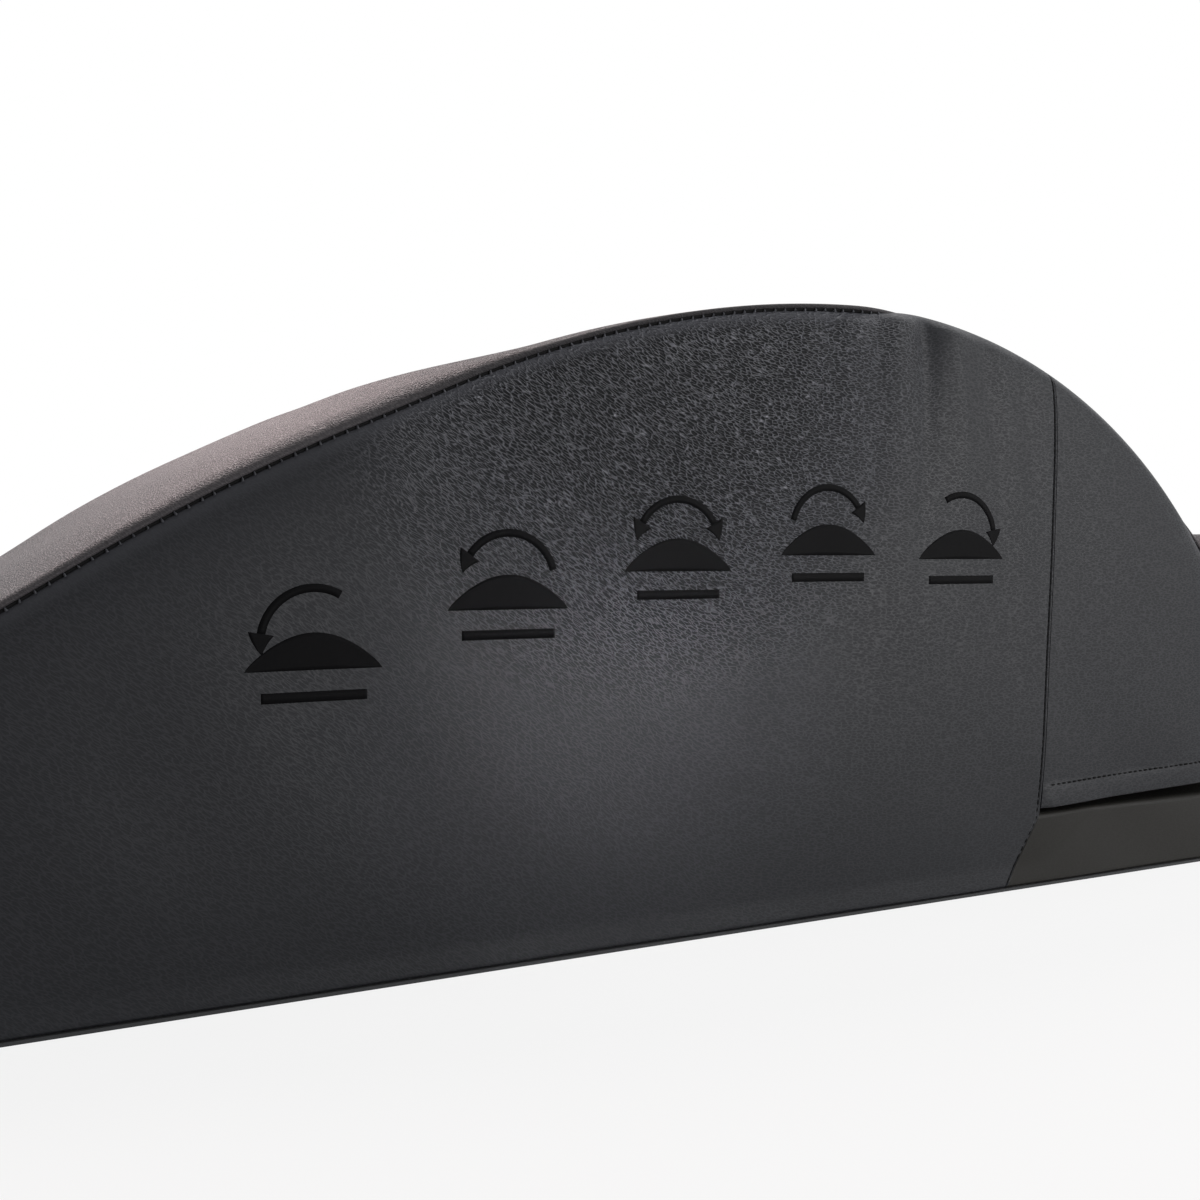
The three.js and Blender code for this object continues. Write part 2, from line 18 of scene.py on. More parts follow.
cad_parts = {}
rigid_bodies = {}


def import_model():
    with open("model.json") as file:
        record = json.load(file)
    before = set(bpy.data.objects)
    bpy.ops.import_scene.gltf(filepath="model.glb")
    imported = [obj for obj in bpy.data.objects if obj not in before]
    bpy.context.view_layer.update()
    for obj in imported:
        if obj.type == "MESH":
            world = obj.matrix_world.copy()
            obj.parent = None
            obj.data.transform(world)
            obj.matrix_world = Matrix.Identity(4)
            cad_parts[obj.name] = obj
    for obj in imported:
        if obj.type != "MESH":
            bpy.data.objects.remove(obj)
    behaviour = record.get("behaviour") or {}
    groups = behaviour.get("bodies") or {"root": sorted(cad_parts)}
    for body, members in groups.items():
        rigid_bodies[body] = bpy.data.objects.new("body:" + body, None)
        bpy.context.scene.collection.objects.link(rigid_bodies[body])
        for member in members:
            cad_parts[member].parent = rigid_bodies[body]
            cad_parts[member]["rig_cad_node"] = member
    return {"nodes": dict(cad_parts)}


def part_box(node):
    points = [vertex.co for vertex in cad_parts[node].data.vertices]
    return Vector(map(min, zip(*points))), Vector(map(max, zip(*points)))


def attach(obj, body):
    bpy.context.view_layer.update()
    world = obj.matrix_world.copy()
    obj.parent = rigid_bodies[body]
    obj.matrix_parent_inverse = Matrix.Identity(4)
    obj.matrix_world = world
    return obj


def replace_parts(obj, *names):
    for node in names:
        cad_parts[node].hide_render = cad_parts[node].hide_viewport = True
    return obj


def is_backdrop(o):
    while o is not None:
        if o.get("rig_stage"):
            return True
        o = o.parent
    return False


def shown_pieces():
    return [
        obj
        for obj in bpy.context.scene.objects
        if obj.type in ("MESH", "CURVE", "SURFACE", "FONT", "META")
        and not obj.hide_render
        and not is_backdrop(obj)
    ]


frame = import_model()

Array = np.ndarray
Object, Material = bpy.types.Object, bpy.types.Material
Tree, Socket = bpy.types.NodeTree, bpy.types.NodeSocket
LOG = logging.getLogger("spine_corrector")
BODY = "root"
SEAM_MAP = "seam_map"
WAVE_SPREAD = (0.7, 1.5)  # Shortest and longest wave of a noise, as shares of its mean
LOOKUP_STEPS = 4000
PEAK_PART, WELL_PART = 6, 9  # Parts of the seam line that start at the peak and mid-well
WHITE = (1.0, 1.0, 1.0, 1.0)
CAPSULE_PLACES = (-1.0, -0.94, -0.7, 0.0, 0.7, 0.94, 1.0)
CAPSULE_GIRTHS = (0.05, 0.5, 0.9, 1.0, 0.9, 0.5, 0.05)
WAVE_PHASE = 20.0  # Phase that the Wave texture adds over one unit of place at scale 1


class Side(Enum):
    """The two long sides of the body, with the sign of their y."""

    NEAR = -1
    FAR = 1

    @property
    def label(self) -> str:
        """Ending of this side's node names."""
        return self.name.lower()


class Slot(Enum):
    """Material slots of the record; no piece in the script takes its finish from them."""

    LEATHERETTE = "leatherette"
    LINING = "slot_lining"


# Numbers and grids


def smooth(share: Array | float) -> Array:
    """Smooth step: 3t^2 - 2t^3 of the share held between 0 and 1.

    Args:
        share: Position on the step, 0 at its start and 1 at its end.

    Returns:
        The eased share.
    """
    held = np.clip(share, 0.0, 1.0)
    return held * held * (3.0 - 2.0 * held)


def lerp(start: Array | float, end: Array | float, share: Array | float) -> Array:
    """Straight blend from start to end.

    Args:
        start: Value at share 0.
        end: Value at share 1.
        share: Position between them.

    Returns:
        start + (end - start) * share.
    """
    return start + (end - start) * share


def rolled(distance: Array, radius: Array | float) -> Array:
    """Depth of a round edge: a quarter circle that falls away over the last radius before the edge.

    Args:
        distance: Distance from the edge, along the face.
        radius: Radius of the round.

    Returns:
        radius - sqrt(radius^2 - (radius - distance)^2) inside the round, 0 beyond it.
    """
    into = np.clip(radius - distance, 0.0, radius)
    return radius - np.sqrt(np.maximum(radius * radius - into * into, 0.0))


def eased_shares(steps: int, end_step: float) -> Array:
    """Shares from 0 to 1 that lie close together at both ends.

    Args:
        steps: Number of steps.
        end_step: Size of the end steps, as a share of the mean step.

    Returns:
        t - (1 - end_step) * sin(2 pi t) / (2 pi) at even steps of t.
    """
    t = np.linspace(0.0, 1.0, steps + 1)
    return t - (1.0 - end_step) * np.sin(2.0 * np.pi * t) / (2.0 * np.pi)


def waves(u: Array, v: Array, length: float, seed: int, count: int = 7) -> Array:
    """Soft, even noise: a sum of plane waves in random directions.

    Args:
        u: First coordinate.
        v: Second coordinate.
        length: Mean wave length.
        seed: Seed of the random directions and phases.
        count: Number of waves.

    Returns:
        Noise of about -1 to 1.
    """
    random = np.random.default_rng(seed)
    angles = random.uniform(0.0, 2.0 * np.pi, count)
    numbers = 2.0 * np.pi / (length * random.uniform(*WAVE_SPREAD, count))
    phases = random.uniform(0.0, 2.0 * np.pi, count)
    total = np.zeros(np.broadcast(u, v).shape)
    for angle, number, phase in zip(angles, numbers, phases):
        total = total + np.sin(number * (u * np.cos(angle) + v * np.sin(angle)) + phase)
    return total / math.sqrt(2.0 * count)


def grid_faces(rows: int, columns: int, closed: bool) -> Array:
    """Quads of a grid whose rows hold columns vertices each.

    Args:
        rows: Number of rows.
        columns: Number of vertices in a row.
        closed: Whether each row runs round to its own start.

    Returns:
        Vertex numbers, four to a face.
    """
    steps = columns if closed else columns - 1
    i, j = np.meshgrid(np.arange(rows - 1) * columns, np.arange(steps), indexing="ij")
    following = (j + 1) % columns
    corners = [i + j, i + following, i + columns + following, i + columns + j]
    return np.stack(corners, axis=-1).reshape(-1, 4)


@dataclass
class Solid:
    """A closed mesh in the making, with its smooth faces, its flat end caps and its map values."""

    points: Array
    faces: list[Array]
    caps: list[Array]
    uv: Array | None = None

    def volume(self) -> float:
        """Signed volume, above zero where the faces point outwards.

        Returns:
            The sum of a . (b x c) / 6 over each face's fan of triangles a, b, c.
        """
        total = 0.0
        for group in self.faces + self.caps:
            for k in range(1, group.shape[1] - 1):
                a, b, c = (self.points[group[:, corner]] for corner in (0, k, k + 1))
                total += float((a * np.cross(b, c)).sum()) / 6.0
        return total

    def outwards(self) -> "Solid":
        """The same solid with its faces pointing outwards.

        Returns:
            This solid, or one with every face turned round.
        """
        if self.volume() >= 0.0:
            return self
        flipped = [[group[:, ::-1] for group in groups] for groups in (self.faces, self.caps)]
        return Solid(self.points, flipped[0], flipped[1], self.uv)


def mesh_object(name: str, solids: Sequence[Solid]) -> Object:
    """Makes one mesh object of closed solids, linked to the scene at the origin.

    Args:
        name: Name of the object.
        solids: What it is made of.

    Returns:
        The new object.
    """
    turned = [solid.outwards() for solid in solids]
    offsets = np.cumsum([0] + [len(solid.points) for solid in turned[:-1]])
    points = np.concatenate([solid.points for solid in turned])
    smooth_faces = [face for solid, offset in zip(turned, offsets) for group in solid.faces
                    for face in (group + offset).tolist()]
    flat_faces = [face for solid, offset in zip(turned, offsets) for group in solid.caps
                  for face in (group + offset).tolist()]
    mesh = bpy.data.meshes.new(name)
    mesh.from_pydata(points.tolist(), [], smooth_faces + flat_faces)
    mesh.polygons.foreach_set("use_smooth", np.arange(len(mesh.polygons)) < len(smooth_faces))
    if all(solid.uv is not None for solid in turned):
        corners = np.empty(len(mesh.loops), np.int32)
        mesh.loops.foreach_get("vertex_index", corners)
        values = np.concatenate([solid.uv for solid in turned])[corners]
        mesh.uv_layers.new(name=SEAM_MAP).data.foreach_set("uv", values.astype(np.float32).ravel())
    mesh.update()
    piece = bpy.data.objects.new(name, mesh)
    bpy.context.scene.collection.objects.link(piece)
    return piece


def ring_solid(rings: Array, uv: Array | None = None) -> Solid:
    """A closed solid through rings, with a flat cap at both ends.

    Args:
        rings: Points of each ring, shaped (rings, points, 3).
        uv: Map values of each point, shaped (rings, points, 2).

    Returns:
        The solid.
    """
    count, size = rings.shape[:2]
    caps = np.stack([np.arange(size)[::-1], (count - 1) * size + np.arange(size)])
    flat_uv = None if uv is None else uv.reshape(-1, 2)
    return Solid(rings.reshape(-1, 3), [grid_faces(count, size, closed=True)], [caps], flat_uv)


def repeated(shape: Array, faces: Array, centres: Array, axes: Array) -> Solid:
    """Many copies of one small closed shape.

    Args:
        shape: Vertices of one copy, in its own three axes.
        faces: Quads of one copy.
        centres: Place of each copy, shaped (copies, 3).
        axes: Direction of each copy's three axes, shaped (copies, 3, 3), one axis to a row.

    Returns:
        The copies as one solid.
    """
    points = centres[:, None, :] + np.einsum("vk,nkc->nvc", shape, axes)
    numbers = faces[None, :, :] + (np.arange(len(centres)) * len(shape))[:, None, None]
    return Solid(points.reshape(-1, 3), [numbers.reshape(-1, 4)], [])


def capsule(length: float, radius: float, dip: float = 0.0, taper: float = 0.0,
            around: int = 6) -> tuple[Array, Array]:
    """A short round-ended bar along its first axis, whose ends may dip along the third.

    Args:
        length: Whole length.
        radius: Radius at the middle.
        dip: How far the ends sink.
        taper: Share by which the far end is thinner than the near end.
        around: Number of sides.

    Returns:
        Vertices and quads. Each end ring is drawn in to almost a point.
    """
    along = np.array(CAPSULE_PLACES)
    girth = np.array(CAPSULE_GIRTHS) * radius * (1.0 - taper * along)
    angle = np.linspace(0.0, 2.0 * np.pi, around, endpoint=False)
    x = np.repeat(along * length / 2.0, around)
    y = (girth[:, None] * np.cos(angle)).ravel()
    z = (girth[:, None] * np.sin(angle) - dip * along[:, None] ** 2).ravel()
    return np.stack([x, y, z], axis=1), grid_faces(len(along), around, closed=True)


# Form of the body


class SeamLine:
    """Tangent straight runs and arcs in the x-z plane, by arc length from the floor at the foot."""

    def __init__(self, start_x: float) -> None:
        """Starts the line on the floor, heading straight up.

        Args:
            start_x: Where the line leaves the floor.
        """
        self.parts: list[tuple[float, float, float, float, float, float]] = []
        self.end = (start_x, 0.0, math.pi / 2.0)
        self.length = 0.0

    def run(self, length: float) -> "SeamLine":
        """Adds a straight run and returns the line."""
        return self._add(length, 0.0)

    def bend(self, radius: float, turn: float) -> "SeamLine":
        """Adds an arc that turns left where turn is above 0, and returns the line."""
        return self._add(radius * abs(turn), turn)

    def _add(self, length: float, turn: float) -> "SeamLine":
        """Adds a part and moves the line's end to its far end.

        Args:
            length: Arc length of the part.
            turn: Change of heading along it.

        Returns:
            The line.
        """
        x, z, heading = self.end
        self.parts.append((self.length, length, x, z, heading, turn))
        self.length += length
        end_x, end_z, end_heading = self.at(np.array([self.length]))
        self.end = (float(end_x[0]), float(end_z[0]), float(end_heading[0]))
        return self

    def at(self, s: Array) -> tuple[Array, Array, Array]:
        """Place and heading at arc lengths s.

        A part's chord from its start is along * sinc(half the turn), at the mean of both headings.

        Args:
            s: Arc lengths.

        Returns:
            x, z and heading.
        """
        table = np.array(self.parts)
        row = np.clip(np.searchsorted(table[:, 0], s, side="right") - 1, 0, len(table) - 1)
        start, length, x, z, heading, turn = np.moveaxis(table[row], -1, 0)
        along = s - start
        half_turn = turn * along / length / 2.0
        chord = along * np.sinc(half_turn / np.pi)
        return (x + chord * np.cos(heading + half_turn), z + chord * np.sin(heading + half_turn),
                heading + 2.0 * half_turn)

    def beside(self, s: Array, height: Array | float) -> tuple[Array, Array]:
        """Points that stand out from the line by height.

        Args:
            s: Arc lengths.
            height: Distance to the left of the line, which is the outside of the body.

        Returns:
            x and z.
        """
        x, z, heading = self.at(s)
        return x - height * np.sin(heading), z + height * np.cos(heading)

    def arc_at(self, x: Array | float) -> Array:
        """Arc length where the line, between its two upright ends, passes x."""
        s = np.linspace(self.parts[0][1], self.length - self.parts[-1][1], LOOKUP_STEPS)
        return np.interp(x, self.at(s)[0], s)

    def nearest(self, x: Array, z: Array) -> tuple[Array, Array]:
        """Distance of points inside the line, and the arc length of the nearest point on it.

        Each part's nearest point is its foot of the perpendicular, held to the part's ends.

        Args:
            x: Places of the points.
            z: Heights of the points.

        Returns:
            Distance, below zero outside the line, and arc length.
        """
        best = np.full(np.shape(x), np.inf)
        best_s = np.zeros(np.shape(x))
        for start, length, x0, z0, heading, turn in self.parts:
            if turn == 0.0:
                along = (x - x0) * math.cos(heading) + (z - z0) * math.sin(heading)
            else:
                radius = length / turn
                centre_x = x0 - radius * math.sin(heading)
                centre_z = z0 + radius * math.cos(heading)
                first = math.atan2(z0 - centre_z, x0 - centre_x)
                angle = (np.arctan2(z - centre_z, x - centre_x) - first) * math.copysign(1.0, turn)
                angle = (angle - abs(turn) / 2.0 + np.pi) % (2.0 * np.pi) - np.pi + abs(turn) / 2.0
                along = angle * abs(radius)
            s = start + np.clip(along, 0.0, length)
            px, pz, _ = self.at(s)
            gap = np.hypot(x - px, z - pz)
            closer = gap < best
            best, best_s = np.where(closer, gap, best), np.where(closer, s, best_s)
        px, pz, heading = self.at(best_s)
        outside = (x - px) * -np.sin(heading) + (z - pz) * np.cos(heading)
        return np.where(outside > 0.0, -best, best), best_s


def slope_for(radii: float, run: float, rise: float) -> float:
    """Slope at which two tangent arcs and the straight run between them climb a rise.

    Args:
        radii: Sum of both arcs' radii.
        run: Length of the straight run.
        rise: Height that the three climb together.

    Returns:
        The slope in radians.
    """
    return math.acos((radii - rise) / math.hypot(radii, run)) - math.atan2(run, radii)


@dataclass(frozen=True)
class BodyForm:
    """Side profile, swell and hand slots of the padded body."""

    clearance: float = 0.0003
    cover: float = 0.002
    pad: float = 0.018
    foot_face: float = 0.046
    foot_edge_radius: float = 0.024
    foot_slope_degrees: float = 31.5
    foot_bend_radius: float = 0.940
    back_slope_degrees: float = 24.0
    back_run: float = 0.052
    back_radius: float = 0.534
    peak_height: float = 0.300
    front_radius: float = 0.300
    front_run: float = 0.074
    well_radius: float = 0.050
    well_height: float = 0.118
    step_run: float = 0.037
    step_rise: float = 0.070
    step_front_radius: float = 0.026
    step_top: float = 0.095
    step_end_radius: float = 0.024
    top_crown: float = 0.004
    top_crown_power: float = 5.0
    back_crown: float = 0.0083
    back_crown_from_peak: float = 0.253
    back_crown_rise: float = 0.235
    back_crown_fall: float = 0.085
    crown_fade_run: float = 0.060
    seam_dip_run: float = 0.040
    seam_dip_share: float = 0.6
    side_crown: float = 0.005
    side_crown_power: float = 4.0
    full_crown_height: float = 0.160
    slit_at_ends: float = 0.0024
    slit_at_well: float = 0.0088
    arch_rise: float = 0.022
    arch_length: float = 0.150
    rail_edge: float = 0.003
    seam_lean_above: float = 0.011
    seam_lean_below: float = 0.020
    seam_blend: float = 0.060

    @cached_property
    def start_x(self) -> float:
        """Where the seam line leaves the floor at the foot."""
        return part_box("bottom_sheet")[0].x + self.cover

    @cached_property
    def half(self) -> float:
        """Half the width between the two side seams."""
        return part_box("bottom_sheet")[1].y

    @cached_property
    def cover_bottom(self) -> float:
        """Height at which the cover's skins end, over the sheet under the board."""
        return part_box("bottom_sheet")[1].z + self.clearance

    @cached_property
    def foam_bottom(self) -> float:
        """Height of the foam's underside."""
        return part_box("base_board")[1].z + self.clearance

    @cached_property
    def slot_start(self) -> float:
        """Barrel end of the hand slots."""
        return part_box("grab_rail_near")[0].x - self.clearance

    @cached_property
    def slot_end(self) -> float:
        """Step end of the hand slots."""
        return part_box("grab_rail_near")[1].x + self.clearance

    @cached_property
    def lip_height(self) -> float:
        """Top of the covered grab rails."""
        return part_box("rail_cover_near")[1].z

    @cached_property
    def kink_height(self) -> float:
        """Height at which the upright seams change their lean."""
        return self.lip_height - self.rail_edge

    @cached_property
    def seam(self) -> SeamLine:
        """The seam line of the whole body.

        Returns:
            The line: face, foot, slope, barrel, well, step and end face, all tangent.
        """
        foot, back = math.radians(self.foot_slope_degrees), math.radians(self.back_slope_degrees)
        rise = self.peak_height - self.foot_face - self.foot_edge_radius * math.cos(foot)
        rise -= (self.foot_bend_radius * (math.cos(back) - math.cos(foot))
                 + self.back_run * math.sin(back))
        rise -= self.back_radius * (1.0 - math.cos(back))
        front = slope_for(self.front_radius + self.well_radius, self.front_run,
                          self.peak_height - self.well_height)
        step = slope_for(self.well_radius + self.step_front_radius, self.step_run, self.step_rise)
        upright = math.pi / 2.0
        line = SeamLine(self.start_x).run(self.foot_face)
        line.bend(self.foot_edge_radius, foot - upright).run(rise / math.sin(foot))
        line.bend(self.foot_bend_radius, back - foot).run(self.back_run)
        line.bend(self.back_radius, -back).bend(self.front_radius, -front).run(self.front_run)
        line.bend(self.well_radius, front).bend(self.well_radius, step).run(self.step_run)
        line.bend(self.step_front_radius, -step).run(self.step_top)
        line.bend(self.step_end_radius, -upright)
        return line.run(self.well_height + self.step_rise - self.step_end_radius)

    @cached_property
    def peak_s(self) -> float:
        """Arc length of the highest point."""
        return self.seam.parts[PEAK_PART][0]

    @cached_property
    def peak_x(self) -> float:
        """Place of the highest point."""
        return float(self.seam.at(np.array([self.peak_s]))[0][0])

    @cached_property
    def well_s(self) -> float:
        """Arc length of the lowest point of the well."""
        return self.seam.parts[WELL_PART][0]

    @cached_property
    def well_x(self) -> float:
        """Place of the lowest point of the well."""
        return float(self.seam.at(np.array([self.well_s]))[0][0])

    @cached_property
    def end_x(self) -> float:
        """Where the seam line meets the floor at the step's end."""
        return self.seam.end[0]

    @cached_property
    def last_face_s(self) -> float:
        """Arc length where the upright face at the step's end starts."""
        return self.seam.parts[-1][0]

    @cached_property
    def upright_top_s(self) -> float:
        """Arc length where the upright side seam meets the top seam."""
        return float(self.seam.arc_at(self.upright_top_x))

    @cached_property
    def upright_top_x(self) -> float:
        """Place where the upright side seam meets the top seam."""
        return self.slot_start + self.seam_lean_above

    @cached_property
    def upright_top_z(self) -> float:
        """Height where the upright side seam meets the top seam."""
        return float(self.seam.at(np.array([self.upright_top_s]))[1][0])

    def slot_ceiling(self, x: Array) -> Array:
        """Height of the slot's upper lip: a slit wider at the well, with a cosine-squared arch.

        Args:
            x: Places along the slot.

        Returns:
            Height of the lip at each.
        """
        rising = (x - self.slot_start) / (self.well_x - self.slot_start)
        falling = (self.slot_end - x) / (self.slot_end - self.well_x)
        share = np.clip(np.minimum(rising, falling), 0.0, 1.0)
        slit = lerp(self.slit_at_ends, self.slit_at_well, share)
        from_well = np.clip(np.abs(x - self.well_x) / (self.arch_length / 2.0), 0.0, 1.0)
        return self.lip_height + slit + self.arch_rise * np.cos(from_well * np.pi / 2.0) ** 2

    def side_swell(self, x: Array, z: Array) -> Array:
        """How far the side stands out past the plane of its seams.

        It is 1 - |2h - 1|^4 over the height share h, less where the side is low or near its ends.

        Args:
            x: Places on the side.
            z: Heights on the side.

        Returns:
            Distance outwards at each.
        """
        into_slot = smooth(np.minimum(x - self.slot_start, self.slot_end - x) / self.seam_blend)
        low = lerp(self.foam_bottom - self.clearance, self.slot_ceiling(x), into_slot)
        top = self.seam.at(self.seam.arc_at(x))[1]
        share = np.clip((z - low) / (top - low), 0.0, 1.0)
        ends = smooth(np.minimum(x - self.start_x, self.end_x - x) / self.crown_fade_run)
        room = np.clip((top - low) / self.full_crown_height, 0.0, 1.0)
        swell = 1.0 - np.abs(2.0 * share - 1.0) ** self.side_crown_power
        return self.side_crown * room * ends * swell

    def back_fullness(self, s: Array) -> Array:
        """Share of the extra crown on the long slope: 1 where it is fullest, 0 past its ends."""
        past = s - (self.peak_s - self.back_crown_from_peak)
        return 1.0 - smooth(np.maximum(-past / self.back_crown_rise, past / self.back_crown_fall))

    def top_swell(self, s: Array) -> Array:
        """Height of the top's crown at mid-width, which fades at both ends and dips in the well.

        Args:
            s: Arc lengths.

        Returns:
            Height over the flat top at each.
        """
        ends = smooth(np.minimum(s, self.seam.length - s) / self.crown_fade_run)
        dip = self.seam_dip_share * (1.0 - smooth(np.abs(s - self.well_s) / self.seam_dip_run))
        return self.top_crown * ends * (1.0 - dip) + self.back_crown * self.back_fullness(s)

    def upright_lean(self, z: Array) -> Array:
        """How far the upright seam at the slot's start lies left of its own top.

        Args:
            z: Heights.

        Returns:
            Distance at each: straight down to the kink, then straight with the lean below it.
        """
        above = self.seam_lean_above * np.clip(
            (self.upright_top_z - z) / (self.upright_top_z - self.kink_height), 0.0, 1.0)
        below = self.seam_lean_above + self.seam_lean_below * (1.0 - z / self.kink_height)
        return np.where(z < self.kink_height, below, above)

    def upright_x(self, z: Array) -> Array:
        """Place of the upright seam at the slot's start at height z."""
        return self.upright_top_x - self.upright_lean(z)

    def leg_x(self, z: Array) -> Array:
        """Place of the slanting seam at the slot's end, straight from the lip down to the floor.

        Args:
            z: Heights.

        Returns:
            Place along the body at each.
        """
        lip = self.lip_height + self.slit_at_ends
        share = np.clip((lip - z) / (lip - self.cover_bottom), 0.0, 1.0)
        return self.slot_end + 2.0 * self.clearance + self.seam_lean_below * share


@dataclass(frozen=True)
class SewnEdge:
    """The top seam: how the side's edge and the top's edge roll into one groove.

    Past the peak the side panel is pulled over the edge of the foam, so the seam lies on top of the
    body there. wrap() says how far it has been pulled, from 0 on the side to 1 on top.
    """

    form: BodyForm
    side_radius: float = 0.0009
    side_drop: float = 0.0006
    wrapped_radius: float = 0.0085
    wrapped_rise: float = 0.0038
    soft_depth: float = 0.0026
    soft_reach: float = 0.0060
    soft_rise: float = 0.050
    bead_radius: float = 0.0010
    bead_inset: float = 0.0002
    bead_gap: float = 0.0001
    wrapped_bead_gap: float = 0.0040
    shoulder_width: float = 0.0015
    shoulder_drop: float = 0.0010
    full_shoulder_width: float = 0.0110
    full_shoulder_drop: float = 0.0042
    groove_depth: float = 0.0022
    wrapped_inset: float = 0.0088
    wrap_from_peak: float = -0.014
    wrap_run: float = 0.048
    unwrap_before_well: float = 0.115
    unwrap_run: float = 0.050

    def wrap(self, s: Array) -> Array:
        """Share by which the side panel is pulled over the foam's edge.

        Args:
            s: Arc lengths.

        Returns:
            0 on the side, rising past the peak to 1 on top and back to 0 before the well.
        """
        x = self.form.seam.at(s)[0]
        rising = smooth((x - self.form.peak_x - self.wrap_from_peak) / self.wrap_run)
        last = self.form.well_x - self.unwrap_before_well
        return rising * (1.0 - smooth((x - last) / self.unwrap_run))

    def panel_top(self, s: Array) -> Array:
        """Height of the side panel's sewn edge over the seam line."""
        return lerp(-self.side_drop, self.wrapped_rise, self.wrap(s))

    def panel_radius(self, s: Array) -> Array:
        """Radius with which the side panel rolls into the seam."""
        return lerp(self.side_radius, self.wrapped_radius, self.wrap(s))

    def inset(self, s: Array) -> Array:
        """How far the groove lies in from the plane of the side."""
        return self.wrapped_inset * self.wrap(s)

    def bead_height(self, s: Array) -> Array:
        """Height over the seam line at which the top cover's rolled edge stands out most."""
        wrapped = self.side_drop + self.wrapped_rise + self.bead_gap - self.wrapped_bead_gap
        return self.bead_radius + lerp(self.bead_gap, wrapped, self.wrap(s))

    def shoulder(self, s: Array) -> tuple[Array, Array]:
        """The elliptical roll between the top and its sewn edge.

        Args:
            s: Arc lengths.

        Returns:
            Its width and its drop at each.
        """
        full = self.form.back_fullness(s)
        return (lerp(self.shoulder_width, self.full_shoulder_width, full),
                lerp(self.shoulder_drop, self.full_shoulder_drop, full))


# Soft pieces


